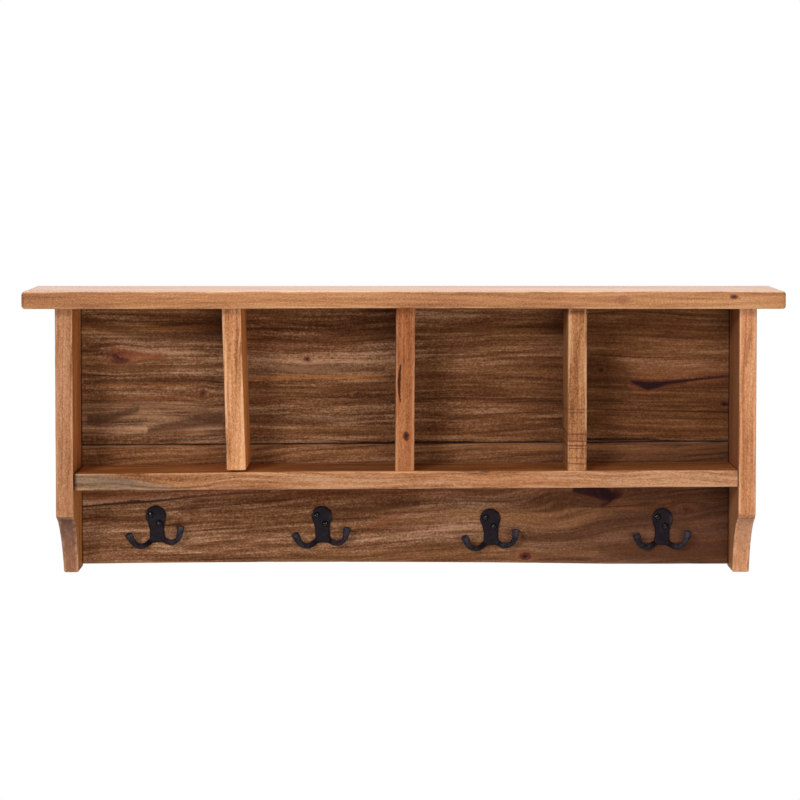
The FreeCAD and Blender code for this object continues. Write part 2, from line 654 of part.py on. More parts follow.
top_dowels = [FreeCAD.Placement(vector(x, y, f"{UNDER_TOP} - dims.dowel_in_end"), UPRIGHT)
              for x in TOP_DOWEL_X for y in DOWEL_ROWS]
foot_dowels = [FreeCAD.Placement(vector(x, y, f"{shelf_top_at(x)} - dims.dowel_in_face"), UPRIGHT)
               for x in foot_x for y in DOWEL_ROWS]
shelf_dowels = []
back_dowels = []
for side, turn in ((-1, AGAINST_X), (1, ALONG_X)):
    start = f"({side} * ({INNER_SPAN} / 2 - dims.dowel_in_end))"
    shelf_dowels += [FreeCAD.Placement(vector(start, y, shelf_end_z(side)), turn) for y in DOWEL_ROWS]
    back_dowels += [FreeCAD.Placement(vector(start, BACK_DOWEL_Y, z), turn) for z in BACK_DOWEL_HEIGHTS]
group("top_board_dowels", dowel, top_dowels)
group("divider_foot_dowels", dowel, foot_dowels)
group("shelf_end_dowels", dowel, shelf_dowels)
group("back_board_dowels", dowel, back_dowels)

# Screws from the rear

group("shelf_back_screws", back_screw,
      [FreeCAD.Placement(vector(x, "0", z), FACING_REAR) for x, z in SHELF_SCREWS])
group("divider_back_screws", back_screw,
      [FreeCAD.Placement(vector(x, "0", z), FACING_REAR) for x, z in DIVIDER_SCREWS])

# Keyhole hangers, flush with the rear face, and their screws

def keyhole_hanger(label, x):
    body = new_body(label, x, "0", "0")
    sketch = new_sketch(body, label + "_outline", "XZ_Plane")
    half = "dims.hanger_width / 2"
    low = "dims.hanger_rise - dims.hanger_height / 2"
    high = "dims.hanger_rise + dims.hanger_height / 2"
    outline(sketch, [(f"0 - {half}", low), (half, low), (half, high), (f"0 - {half}", high)])
    pad(body, label + "_blank", sketch, "dims.hanger_thickness")

    def upright_corner(middle, ends):
        return not near(ends[0].y, ends[1].y)

    ease(body, label + "_corners", "dims.hanger_corner", upright_corner)
    through = "dims.hanger_thickness + 2 * dims.overrun"
    drill(body, label + "_entry", "XZ_Plane", "0 - dims.overrun", [("0", "0")], "dims.keyhole_entry_radius",
          through, reverse=True)
    slot_half = "dims.keyhole_slot_width / 2"
    slot = new_sketch(body, label + "_slot_outline", "XZ_Plane", "0 - dims.overrun")
    outline(slot, [(f"0 - {slot_half}", "0"), (slot_half, "0"), (slot_half, "dims.keyhole_slot_rise"),
                   (f"0 - {slot_half}", "dims.keyhole_slot_rise")])
    pocket(body, label + "_slot", slot, through, reverse=True)
    drill(body, label + "_slot_end", "XZ_Plane", "0 - dims.overrun", [("0", "dims.keyhole_slot_rise")],
          slot_half, through, reverse=True)
    screws = [("0", z) for z in HANGER_SCREW_Z]
    drill(body, label + "_screw_holes", "XZ_Plane", "0 - dims.overrun", screws,
          "(dims.hanger_screw_radius + dims.screw_clearance)", through, reverse=True)
    countersink(body, label + "_screw_seats", screws, "dims.hanger_screw_radius",
                "dims.hanger_screw_head_radius")
    return body


hangers = []
for side, x in HANGERS.items():
    hangers.append(keyhole_hanger(f"{side}_keyhole_hanger", x))
    group(f"{side}_hanger_screws", hanger_screw,
          [FreeCAD.Placement(vector(x, "0", z), FACING_REAR) for z in HANGER_SCREW_Z])

# Cast double hooks: one casting pattern, placed four times

def hook_plate():
    """The shield plate, its back at zero and its front towards the viewer."""
    head = sheet.hook_head_radius
    half_waist = sheet.hook_waist / 2
    half_foot = sheet.hook_foot / 2
    shoulder = math.asin(half_waist / head) / 2
    right_shoulder = FreeCAD.Vector(head * math.cos(shoulder), 0, -head * math.sin(shoulder))
    right_waist = FreeCAD.Vector(half_waist, 0, -sheet.hook_waist_drop)
    right_foot = FreeCAD.Vector(half_foot, 0, -sheet.hook_foot_drop)
    mirror = FreeCAD.Matrix(-1, 0, 0, 0, 0, 1, 0, 0, 0, 0, 1, 0, 0, 0, 0, 1)
    left_shoulder, left_waist, left_foot = [mirror.multVec(p) for p in (right_shoulder, right_waist, right_foot)]
    crown = FreeCAD.Vector(0, 0, head)
    crotch = FreeCAD.Vector(0, 0, -sheet.hook_crotch_drop)
    edges = [
        Part.Arc(left_shoulder, crown, right_shoulder).toShape(),
        Part.Arc(right_shoulder, right_waist, right_foot).toShape(),
        Part.Arc(right_foot, crotch, left_foot).toShape(),
        Part.Arc(left_foot, left_waist, left_shoulder).toShape(),
    ]
    blank = Part.Face(Part.Wire(edges)).extrude(FreeCAD.Vector(0, -sheet.hook_thickness, 0))
    rim = [edge for edge in blank.Edges if all(near(v.Y, -sheet.hook_thickness) for v in edge.Vertexes)]
    return blank.makeFillet(sheet.hook_ease, rim)


def hook_prong(side, low_reach, low_drop, tip_reach, tip_drop, rise_angle):
    """One prong: from the plate down to its lowest place, round the bend and straight up to a blunt tip."""
    splay = math.radians(sheet.prong_splay)
    rise = math.radians(rise_angle)
    outward = FreeCAD.Vector(side * math.cos(splay), -math.sin(splay), 0)
    upward = FreeCAD.Vector(0, 0, 1)
    root = FreeCAD.Vector(side * sheet.prong_root_offset, -sheet.prong_root_depth, -sheet.prong_root_drop)

    def place(run, height):
        return root + outward * run + upward * (height - root.z)

    low_run = (low_reach - sheet.prong_root_offset) / math.cos(splay)
    tip_run = (tip_reach - sheet.prong_root_offset) / math.cos(splay)
    low_height = -low_drop
    run = tip_run - low_run
    climb = low_drop - tip_drop
    # The bend's radius and the straight's length bring the tip to its place at the rise angle
    spread = math.sin(rise) ** 2 - math.cos(rise) * (1 - math.cos(rise))
    bend = (run * math.sin(rise) - climb * math.cos(rise)) / spread
    dip = -sheet.prong_root_drop - low_height
    sweep_radius = (low_run ** 2 + dip ** 2) / (2 * dip)
    sweep_half = math.asin(low_run / sweep_radius) / 2

    def on_sweep(angle):
        return place(low_run - sweep_radius * math.sin(angle), low_height + sweep_radius * (1 - math.cos(angle)))

    def on_bend(angle):
        return place(low_run + bend * math.sin(angle), low_height + bend * (1 - math.cos(angle)))

    low = place(low_run, low_height)
    tip = place(tip_run, -tip_drop)
    path = Part.Wire([
        Part.Arc(root, on_sweep(sweep_half), low).toShape(),
        Part.Arc(low, on_bend(rise / 2), on_bend(rise)).toShape(),
        Part.LineSegment(on_bend(rise), tip).toShape(),
    ])
    start_angle = 2 * sweep_half
    start_way = outward * math.cos(start_angle) - upward * math.sin(start_angle)
    end_way = outward * math.cos(rise) + upward * math.sin(rise)
    rings = ((root, start_way, sheet.prong_root_radius), (low, outward, sheet.prong_bend_radius),
             (on_bend(rise), end_way, sheet.prong_rise_radius), (tip, end_way, sheet.prong_tip_radius))
    shell = Part.BRepOffsetAPI.MakePipeShell(path)
    shell.setBiNormalMode(outward.cross(upward))
    for centre, way, radius in rings:
        shell.add(Part.Wire([Part.Circle(centre, way, radius).toShape()]), False, False)
    shell.build()
    shell.makeSolid()
    solid = shell.shape()
    end = [edge for edge in solid.Edges
           if all(near(vertex.Point.distanceToPoint(tip), sheet.prong_tip_radius) for vertex in edge.Vertexes)]
    return solid.makeFillet(sheet.prong_tip_ease, end)


def hook_casting():
    plate = hook_plate()
    left = hook_prong(-1, sheet.left_prong_low_reach, sheet.left_prong_low_drop,
                      sheet.left_prong_tip_reach, sheet.left_prong_tip_drop, sheet.left_prong_rise_angle)
    right = hook_prong(1, sheet.right_prong_low_reach, sheet.right_prong_low_drop,
                       sheet.right_prong_tip_reach, sheet.right_prong_tip_drop, sheet.right_prong_rise_angle)
    behind = Part.makeBox(4 * sheet.hook_waist, sheet.hook_waist, 4 * sheet.hook_waist,
                          FreeCAD.Vector(-2 * sheet.hook_waist, 0, -2 * sheet.hook_waist))
    casting = plate.fuse([left, right]).cut(behind)
    for across, up in HOOK_SCREWS.values():
        base = FreeCAD.Vector(value(across), sheet.overrun, value(up))
        hole = Part.makeCylinder(sheet.hook_screw_radius + sheet.screw_clearance,
                                 sheet.hook_thickness + 2 * sheet.overrun, base, FreeCAD.Vector(0, -1, 0))
        casting = casting.cut(hole)
    return casting.removeSplitter()


casting = hook_casting()
for number in HOOK_BAYS:
    lean = FreeCAD.Rotation(FreeCAD.Vector(0, -1, 0), value(f"dims.hook_{number}_lean"))
    place = FreeCAD.Placement(vector(hook_x(number), "0 - dims.back_thickness", hook_z(number)), lean)
    hook = doc.addObject("Part::Feature", f"coat_hook_{number}")
    hook.Label = f"coat_hook_{number}"
    hook.Shape = casting
    hook.Placement = place
    screws = []
    for which in HOOK_SCREWS:
        x, z = hook_screw_place(number, which)
        seat = vector(x, "0 - dims.back_thickness - dims.hook_thickness", z)
        screws.append(FreeCAD.Placement(seat, FACING_FRONT))
    group(f"coat_hook_screws_{number}", hook_screw, screws)

# Every object is sound before the pieces are written

doc.recompute()
for item in doc.Objects:
    if "Invalid" in item.State or "Error" in item.State:
        raise RuntimeError(f"{item.Label} failed: {item.State}")
PATTERNS = ("dowel_pattern", "back_screw_pattern", "hanger_screw_pattern", "hook_screw_pattern")
for item in doc.Objects:
    is_piece = item.TypeId in ("PartDesign::Body", "Part::Feature")
    if not is_piece or item.Label in PATTERNS:
        continue
    if item.Shape.isNull() or not item.Shape.isValid():
        raise RuntimeError(f"{item.Label} has no sound shape")
    item.Shape.exportStep(f"parts/{item.Label}.step")
    print(item.Label, len(item.Shape.Solids), round(item.Shape.Volume))
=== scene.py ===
import math

import bpy
import numpy as np
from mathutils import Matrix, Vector


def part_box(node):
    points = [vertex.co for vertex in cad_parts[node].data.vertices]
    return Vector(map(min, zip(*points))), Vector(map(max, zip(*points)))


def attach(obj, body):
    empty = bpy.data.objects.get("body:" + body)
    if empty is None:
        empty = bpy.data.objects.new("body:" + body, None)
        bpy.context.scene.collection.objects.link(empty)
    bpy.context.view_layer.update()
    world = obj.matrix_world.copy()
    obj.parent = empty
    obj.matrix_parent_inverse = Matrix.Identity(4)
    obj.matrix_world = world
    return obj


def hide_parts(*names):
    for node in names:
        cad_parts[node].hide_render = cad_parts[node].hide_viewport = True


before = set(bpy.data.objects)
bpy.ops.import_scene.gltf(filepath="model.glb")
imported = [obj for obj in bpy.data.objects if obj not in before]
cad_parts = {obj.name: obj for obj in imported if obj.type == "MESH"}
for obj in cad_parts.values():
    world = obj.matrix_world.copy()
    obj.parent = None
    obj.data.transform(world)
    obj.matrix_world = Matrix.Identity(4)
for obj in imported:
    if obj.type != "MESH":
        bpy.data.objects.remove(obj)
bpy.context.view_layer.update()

# Side panels
# Two upright boards of oiled hardwood with the grain running up, dowelled to the top board. The front
# drops straight, steps back in a short slanted nose and is scooped out down to a narrow foot.

NOSE_TOP = -0.1780
NOSE_FOOT = -0.1830
NOSE_SETBACK = 0.0115
COVE_RADIUS = 0.0950
FOOT_FRONT = -0.0675
SIDE_ARRIS = 0.0017
SIDE_ENDS = (0.0022, 0.0003)


class Shade:
    """A value in a node tree. Sums and products of it add Math nodes."""

    def __init__(self, tree, socket=None):
        self.tree = tree
        self.socket = socket

    def node(self, kind, settings=None, inputs=None, output=0):
        made = self.tree.nodes.new(kind)
        for key, setting in (settings or {}).items():
            if key == "stops":
                ramp = made.color_ramp
                while len(ramp.elements) < len(setting):
                    ramp.elements.new(1.0)
                for element, (position, color) in zip(ramp.elements, setting):
                    element.position = position
                    element.color = color
            else:
                setattr(made, key, setting)
        for key, source in (inputs or {}).items():
            if isinstance(source, Shade):
                self.tree.links.new(source.socket, made.inputs[key])
            else:
                made.inputs[key].default_value = source
        return Shade(self.tree, made.outputs[output])

    def beside(self, output):
        return Shade(self.tree, self.socket.node.outputs[output])

    def math(self, operation, *values):
        return self.node("ShaderNodeMath", {"operation": operation}, dict(enumerate(values)))

    def __add__(self, other):
        return self.math("ADD", self, other)

    def __sub__(self, other):
        return self.math("SUBTRACT", self, other)

    def __mul__(self, other):
        return self.math("MULTIPLY", self, other)

    def __truediv__(self, other):
        return self.math("DIVIDE", self, other)

    def __pow__(self, other):
        return self.math("POWER", self, other)

    def __rsub__(self, other):
        return self.math("SUBTRACT", other, self)

    def __rpow__(self, other):
        return self.math("POWER", other, self)

    def __neg__(self):
        return self.math("MULTIPLY", self, -1.0)

    __radd__ = __add__
    __rmul__ = __mul__

    def size(self):
        return self.math("ABSOLUTE", self)

    def most(self, other):
        return self.math("MAXIMUM", self, other)

    def between(self, low, high):
        """Runs smoothly from 0 at low to 1 at high, either way round."""
        return self.node("ShaderNodeMapRange", {"interpolation_type": "SMOOTHSTEP"},
                         {"Value": self, "From Min": low, "From Max": high})

    def noise(self, along, depth, across, detail=2.0, roughness=0.5):
        place = self.node("ShaderNodeCombineXYZ", None, {"X": along, "Y": depth, "Z": across})
        return self.node("ShaderNodeTexNoise", None,
                         {"Vector": place, "Scale": 1.0, "Detail": detail, "Roughness": roughness})

    def blend(self, share, other):
        """This colour with a share of another over it."""
        return self.node("ShaderNodeMix", {"data_type": "RGBA"}, {"Factor": share, 6: self, 7: other}, 2)


def tint(red, green, blue):
    """A colour written in screen values, as the shaders take it."""
    channels = [value / 255 for value in (red, green, blue)]
    linear = [c / 12.92 if c <= 0.04045 else ((c + 0.055) / 1.055) ** 2.4 for c in channels]
    return (*linear, 1.0)


WIDEST_STROKE = 0.02
THINNEST_STROKE = 0.0003
STROKE_END = 0.002
STROKE_ROOM = 0.001


def stroke(along, across, rows, soft):
    """A line through rows of along, across and half width, 1 in its middle and fading over soft."""
    first, last = rows[0][0], rows[-1][0]
    low = min(row[1] for row in rows) - STROKE_ROOM
    high = max(row[1] for row in rows) + STROKE_ROOM
    stops = []
    for u, v, half in rows:
        stops.append(((u - first) / (last - first), ((v - low) / (high - low), half / WIDEST_STROKE, 0.0, 1.0)))
    route = along.node("ShaderNodeValToRGB", {"stops": stops}, {0: (along - first) / (last - first)})
    parts = along.node("ShaderNodeSeparateColor", None, {0: route})
    half = parts.beside("Green") * WIDEST_STROKE
    away = (across - low - parts * (high - low)).size() - half
    inside = (along.between(first - STROKE_END, first + STROKE_END)
              * along.between(last + STROKE_END, last - STROKE_END))
    return away.between(soft, 0.0) * inside * half.between(0.0, THINNEST_STROKE)


WOOD_GLOSS = 0.52
WOOD_SPECULAR = 0.08
COAT_GLOSS = 0.25


def oiled_wood(name, upright, tones, shift, knots=(), strokes=(), saw_marks=(), figure=(1.0, 1.0, 1.0),
               waves=0.02, slope=0.0, drift=0.0, coat=0.0):
    """Solid oiled wood. Its figure is how strongly bands, streaks and flecks show; they run with the grain, which
    waves and slopes and bends round the knots. Drift deepens the wood towards the far end."""
    bands, streaks, flecks = figure
    material = bpy.data.materials.new(name)
    material.use_nodes = True
    tree = material.node_tree
    shader = tree.nodes["Principled BSDF"]
    place = Shade(tree).node("ShaderNodeTexCoord", output="Object")
    x = place.node("ShaderNodeSeparateXYZ", None, {0: place})
    depth = x.beside("Y")
    along, across = (x.beside("Z"), x) if upright else (x, x.beside("Z"))
    run = along + shift
    sway = x.noise(run * 3.1, depth * 7.0, across * 8.0, 2.0)
    path = across - along * slope + (sway - 0.5) * waves
    cores = []
    for u, v, length, height, strength in knots:
        reach = ((along - u) / length) ** 2.0 + ((across - v) / height) ** 2.0
        path = path - (across - v) * 2.718 ** -reach * 0.85
        cores.append((reach, strength))

    def grain(pitch, detail, roughness=0.5, start=0.0):
        """Noise with a pitch of its own along, into and across the grain."""
        return x.noise(run * pitch[0] + start, depth * pitch[1], path * pitch[2], detail, roughness)

    broad = grain((3.0, 16.0, 30.0), 2.0)
    streak = grain((12.0, 200.0, 260.0), 4.0, 0.6)
    fleck = grain((430.0, 640.0, 640.0), 2.0, 0.65)
    pores = grain((160.0, 900.0, 900.0), 1.0).between(0.54, 0.68)
    vein = grain((3.4, 240.0, 260.0), 1.0).between(0.62, 0.74)
    rust = grain((3.1, 30.0, 60.0), 3.0, start=7.0).between(0.53, 0.75)
    level = (0.5 + (broad - 0.5) * 1.2 * bands + (streak - 0.5) * 1.25 * streaks
             + (fleck - 0.5) * 1.5 * flecks)
    stops = [(0.15, tones["dark"]), (0.40, tones["low"]), (0.58, tones["middle"]), (0.88, tones["light"])]
    color = x.node("ShaderNodeValToRGB", {"stops": stops}, {0: level})

    def stain(share, tone):
        """Lays a tone over the wood so that its grain still shows."""
        grained = x.node("ShaderNodeVectorMath", {"operation": "SCALE"},
                         {0: tones[tone][:3], "Scale": 0.45 + level * 1.1})
        return color.blend(share, grained)

    if drift:
        color = stain(along.between(-0.15, 0.38) * drift, "amber")
    color = stain(rust * 0.40 * bands, "rust")
    if "gold" in tones:
        color = stain(grain((2.0, 20.0, 52.0), 2.0, start=3.0).between(0.50, 0.70) * 0.5, "gold")
    color = stain(vein * 0.5 * streaks, "dark")
    color = color.blend(pores * 0.35 * flecks, tones["dark"])
    hollow = pores * 0.35 + vein * 0.2
    for reach, strength in cores:
        rough_reach = reach * (0.05 + fleck * 0.8 + streak * 1.2)
        color = stain(rough_reach.between(1.2, 0.05) * strength * 0.7, "rust")
        color = stain(rough_reach.between(0.40, 0.12) * strength, "eye")
        color = color.blend(rough_reach.between(0.07, 0.01) * strength, tones["knot"])
    for rows, soft, strength, tone, depth_share in strokes:
        ragged = across + (streak - 0.5) * 0.004 + (fleck - 0.5) * 0.003
        mask = stroke(along, ragged, rows, soft) * strength
        if depth_share:
            color = color.blend(mask, tones[tone])
            hollow = hollow + mask * depth_share
        else:
            color = stain(mask * streak.between(0.25, 0.55), tone)
    for mark, half, strength in saw_marks:
        swayed = along - mark + (sway - 0.5) * 0.006
        cut = swayed.size().between(half, half * 0.4) * fleck.between(0.2, 0.5) * strength
        color = stain(cut, "saw")
        hollow = hollow + cut * 0.4
    marks = {}
    for key in ("end_grain", "worn", "grime"):
        marks[key] = x.node("ShaderNodeAttribute", {"attribute_name": key}, None, "Fac")
    # End tone on the cove: end grain, with painted shade towards its top.
    if "end" in tones:
        color = stain(marks["end_grain"] * 0.95, "end")
    # Pale arrises: wear, with painted highlights at the side panels' nose and feet.
    color = color.blend(marks["worn"] * streak.between(0.35, 0.6) * 0.5, tones["worn"])
    # Painted shade at the butt joints, near black.
    color = color.blend(marks["grime"] * 0.92, tones["knot"])
    tree.links.new(color.socket, shader.inputs["Base Color"])
    gloss = WOOD_GLOSS + (0.5 - level) * 0.12 + pores * 0.12
    tree.links.new(gloss.socket, shader.inputs["Roughness"])
    relief = x.node("ShaderNodeBump", None, {"Strength": 0.4, "Distance": 0.0005,
                                             "Height": fleck * 0.6 + streak * 0.6 - hollow * 1.6})
    tree.links.new(relief.socket, shader.inputs["Normal"])
    shader.inputs["Specular IOR Level"].default_value = WOOD_SPECULAR
    shader.inputs["Coat Weight"].default_value = coat
    shader.inputs["Coat Roughness"].default_value = COAT_GLOSS
    return material


def wander(seed, places, pitch):
    """A smooth seeded wave between -1 and 1 along a board."""
    knots = np.arange(places.min() - pitch, places.max() + 2 * pitch, pitch)
    heights = np.random.default_rng(seed).uniform(-1.0, 1.0, len(knots))
    index = np.clip(np.searchsorted(knots, places, "right") - 1, 0, len(knots) - 2)
    share = (places - knots[index]) / pitch
    share = share * share * (3 - 2 * share)
    return heights[index] * (1 - share) + heights[index + 1] * share


ARC = np.linspace(0.0, math.pi / 2, 5)
FACE_SHARES = (0.0, 0.04, 0.2, 0.4, 0.6, 0.8, 0.96, 1.0)
JOINT_SHADE_REACH = 0.0012


def board(name, upright, stations, limits, arris, seed, ends=(0.0015, 0.0015), tilt=None, chips=6, grime=False):
    """A sawn board: rounded sections along the grain between limits, with worn and chipped arrises. Painted
    shade can darken the ends where a board butts against another, in place of the shadow in the joint."""
    low, high = stations[0], stations[-1]
    ease = 1 - np.cos(ARC)
    inner = [s for s in stations if low + ends[0] < s < high - ends[1]]
    places = np.concatenate([low + ends[0] * ease, inner, high - ends[1] * ease[::-1]])
    inset = np.zeros(len(places))
    for end, gap in ((ends[0], places - low), (ends[1], high - places)):
        close = np.clip(gap, 0, end)
        inset = np.maximum(inset, end - np.sqrt(end ** 2 - (end - close) ** 2))
    a0, a1, b0, b1 = [np.broadcast_to(limit, places.shape) for limit in limits(places)]
    a0, a1, b0, b1 = a0 + inset, a1 - inset, b0 + inset, b1 - inset
    dice = np.random.default_rng(seed)
    rings = []
    worn = []
    for corner in range(4):
        slow, quick = wander(seed + corner, places, 0.03), wander(seed + 9 + corner, places, 0.009)
        radius = arris * (1 + 0.3 * slow + 0.2 * quick)
        for chip in dice.uniform(low, high, chips):
            loss = arris * dice.uniform(0.2, 0.9)
            radius = radius + loss * np.exp(-((places - chip) / dice.uniform(0.002, 0.006)) ** 2)
        centre_a = a1 - radius if corner in (0, 3) else a0 + radius
        centre_b = b1 - radius if corner in (0, 1) else b0 + radius
        for turn in ARC + corner * math.pi / 2:
            rings.append((centre_a + radius * math.cos(turn), centre_b + radius * math.sin(turn)))
            worn.append(1.0)
        following = (corner + 1) % 4
        next_a = a1 - 2 * arris if following in (0, 3) else a0 + 2 * arris
        next_b = b1 - 2 * arris if following in (0, 1) else b0 + 2 * arris
        end_a, end_b = rings[-1]
        to_a = end_a if corner in (1, 3) else next_a
        to_b = end_b if corner in (0, 2) else next_b
        for share in FACE_SHARES:
            start_a = end_a + (np.sign(to_a - end_a)) * arris * 0.8
            start_b = end_b + (np.sign(to_b - end_b)) * arris * 0.8
            rings.append((start_a + (to_a - start_a) * share, start_b + (to_b - start_b) * share))
            worn.append(0.25 if share in (0.0, 1.0) else 0.0)
    rings = np.array(rings)
    vertices = np.zeros((len(places), len(worn), 3))
    order = (0, 1, 2) if upright else (1, 2, 0)
    vertices[:, :, order[0]] = rings[:, 0, :].T
    vertices[:, :, order[1]] = rings[:, 1, :].T
    vertices[:, :, order[2]] = places[:, None]
    if tilt is not None:
        vertices = tilt(vertices)
    size = len(worn)
    faces = []
    for ring in range(len(places) - 1):
        for point in range(size):
            beside = (point + 1) % size
            faces.append((ring * size + point, ring * size + beside,
                          (ring + 1) * size + beside, (ring + 1) * size + point))
    last = (len(places) - 1) * size
    faces.append(tuple(range(size - 1, -1, -1)))
    faces.append(tuple(range(last, last + size)))
    mesh = bpy.data.meshes.new(name)
    mesh.from_pydata(vertices.reshape(-1, 3).tolist(), [], faces)
    mesh.polygons.foreach_set("use_smooth", [True] * (len(faces) - 2) + [False, False])
    mesh.attributes.new("worn", "FLOAT", "POINT").data.foreach_set("value", np.tile(worn, len(places)))
    # Painted shade: the ends are darkened to near black, in place of the shadow in the butt joints.
    if grime:
        shade = np.repeat(np.clip(1.5 - np.minimum(places - low, high - places) / JOINT_SHADE_REACH, 0, 1), size)
        mesh.attributes.new("grime", "FLOAT", "POINT").data.foreach_set("value", shade)
    mesh.update()
    piece = bpy.data.objects.new(name, mesh)
    bpy.context.scene.collection.objects.link(piece)
    return piece


def settle(piece, material, slot, *nodes):
    """Gives a piece its finish and puts it in the place of the solids that it stands for."""
    piece.data.materials.clear()
    piece.data.materials.append(material)
    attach(piece, "root")
    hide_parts(*nodes)


# The last tone, bright orange, is painted light, laid on faces that stand in shade.
honey = {"dark": tint(128, 74, 40), "low": tint(174, 114, 70), "middle": tint(192, 131, 84),
         "light": tint(220, 163, 116), "rust": tint(184, 112, 62), "knot": tint(56, 32, 22),
         "worn": tint(226, 172, 128), "grey": tint(154, 122, 92), "saw": tint(120, 60, 40),
         "eye": tint(96, 60, 44), "painted_light": tint(250, 158, 78)}


def deepen(tones, red, green, blue):
    """The same wood in a deeper or redder board, each channel by its share."""
    return {name: (tone[0] * red, tone[1] * green, tone[2] * blue, 1.0) for name, tone in tones.items()}


def sharp_front(heights):
    """The front line of a side panel as it was sawn, from its foot up."""
    start = np.array((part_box("left_side_panel")[0].y + NOSE_SETBACK, NOSE_FOOT))
    foot = np.array((FOOT_FRONT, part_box("left_side_panel")[0].z))
    chord = foot - start
    reach = np.linalg.norm(chord)
    out = np.array((chord[1], -chord[0])) / reach
    centre = (start + foot) / 2 + out * math.sqrt(COVE_RADIUS ** 2 - (reach / 2) ** 2)
    cove = centre[0] + np.sqrt(np.clip(COVE_RADIUS ** 2 - (heights - centre[1]) ** 2, 0, None))
    share = np.clip((NOSE_TOP - heights) / (NOSE_TOP - NOSE_FOOT), 0, 1)
    slant = start[0] - NOSE_SETBACK * (1 - share ** 1.8)
    straight = np.full(heights.shape, start[0] - NOSE_SETBACK)
    return np.where(heights > NOSE_TOP, straight, np.where(heights > NOSE_FOOT, slant, cove))


def side_front(heights, wear):
    """The same line with its nose rubbed down over a stretch on either side."""
    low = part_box("left_side_panel")[0].z
    lines = [sharp_front(np.maximum(heights + share * wear, low)) for share in np.linspace(-1, 1, 9)]
    return np.mean(lines, axis=0)


for side, shift, seed, taper, wear, tones, strokes in (
        ("left", 3.1, 11, 0.0030, 0.0012, {**deepen(honey, 0.79, 0.81, 0.95), "end": tint(112, 78, 66)},
         # Painted light: the left panel's inner face is laid paler, as bounce light in the cubby would make it.
         [([(-0.2500, -0.4023, 0.0004), (0.0740, -0.4023, 0.0004)], 0.0012, 0.85, "painted_light", 0.0)]),
        ("right", 8.7, 31, 0.0004, 0.0050, {**deepen(honey, 1.05, 1.07, 1.20), "end": tint(196, 140, 106)},
         [([(-0.2500, 0.4023, 0.0004), (0.0740, 0.4023, 0.0004)], 0.0012, 0.40, "dark", 0.0),
          ([(0.0, 0.4100, 0.0), (0.0231, 0.4126, 0.0018), (0.05, 0.4160, 0.0)], 0.002, 0.5, "dark", 0.0)])):
    low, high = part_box(f"{side}_side_panel")
    heights = np.concatenate([np.linspace(low.z, NOSE_FOOT - 0.02, 18),
                              np.linspace(NOSE_FOOT - 0.018, NOSE_TOP + 0.003, 56),
                              np.linspace(NOSE_TOP + 0.008, high.z, 44)])

    def side_limits(z, low=low, high=high, side=side, taper=taper, wear=wear):
        narrow = taper * np.clip((NOSE_TOP - z) / (NOSE_TOP - low.z), 0, 1)
        left, right = (low.x + narrow, high.x) if side == "left" else (low.x, high.x - narrow)
        return left, right, side_front(z, wear), high.y

    panel = board(f"{side}_side", True, heights, side_limits, SIDE_ARRIS, seed, ends=SIDE_ENDS)
    points = np.zeros(len(panel.data.vertices) * 3)
    panel.data.vertices.foreach_get("co", points)
    points = points.reshape(-1, 3)
    forward = points[:, 1] < side_front(points[:, 2], wear) + SIDE_ARRIS
    scooped = (points[:, 2] < NOSE_FOOT) & forward
    # End tone on the scooped cove: darker end grain, with painted shade that deepens it towards the cove's top, which
    # faces down.
    climb = 0.35 + 0.65 * (points[:, 2] - low.z) / (NOSE_FOOT - low.z)
    panel.data.attributes.new("end_grain", "FLOAT", "POINT").data.foreach_set("value", scooped * climb)
    edge = np.zeros(len(points))
    panel.data.attributes["worn"].data.foreach_get("value", edge)
    # Pale lines at the left panel's nose top and along the feet's bottom edges: wear, with a painted highlight.
    edge = np.where((abs(points[:, 2] - NOSE_TOP) < 0.0010) & forward & (side == "left"), 0.9, edge)
    edge = np.where(points[:, 2] < low.z + 0.0014, 1.0, edge)
    panel.data.attributes["worn"].data.foreach_set("value", edge)
    wood = oiled_wood(f"{side}_side_wood", True, tones, shift, strokes=strokes, figure=(0.7, 0.75, 0.6))
    settle(panel, wood, "side_wood", f"{side}_side_panel")

# Back boards
# Two wide boards of the same timber, darker and strongly figured, let in between the sides one above
# the other. The lower one is the rail that carries the hooks; its foot is planed to a slight arch.

BACK_SPAN = 0.8046
HALF_FALL = 0.0022
FALL = 2 * HALF_FALL / BACK_SPAN
BACK_ARRIS = 0.0014
BACK_ENDS = (0.0005, 0.0005)
RAIL_ARCH = 0.0026
RAIL_ARCH_MIDDLE = -0.09
RAIL_ARCH_HALF = 0.34
umber = {"dark": tint(60, 30, 13), "low": tint(92, 55, 30), "middle": tint(116, 77, 49),
         "light": tint(166, 125, 93), "rust": tint(112, 62, 36), "knot": tint(38, 17, 13), "eye": tint(74, 36, 26),
         "worn": tint(136, 96, 66), "purple": tint(34, 14, 16), "orange": tint(150, 92, 46),
         "amber": tint(104, 61, 32), "gold": tint(126, 82, 46)}

low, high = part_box("upper_back_board")
upper_joint = low.z + HALF_FALL
stations = np.concatenate([[low.x + 0.0001, low.x + 0.0012, low.x + 0.0020],
                           np.linspace(low.x + 0.006, high.x - 0.006, 148),
                           [high.x - 0.0020, high.x - 0.0012, high.x - 0.0001]])


def upper_limits(x, low=low, high=high):
    return low.y, high.y, upper_joint + x * FALL, high.z


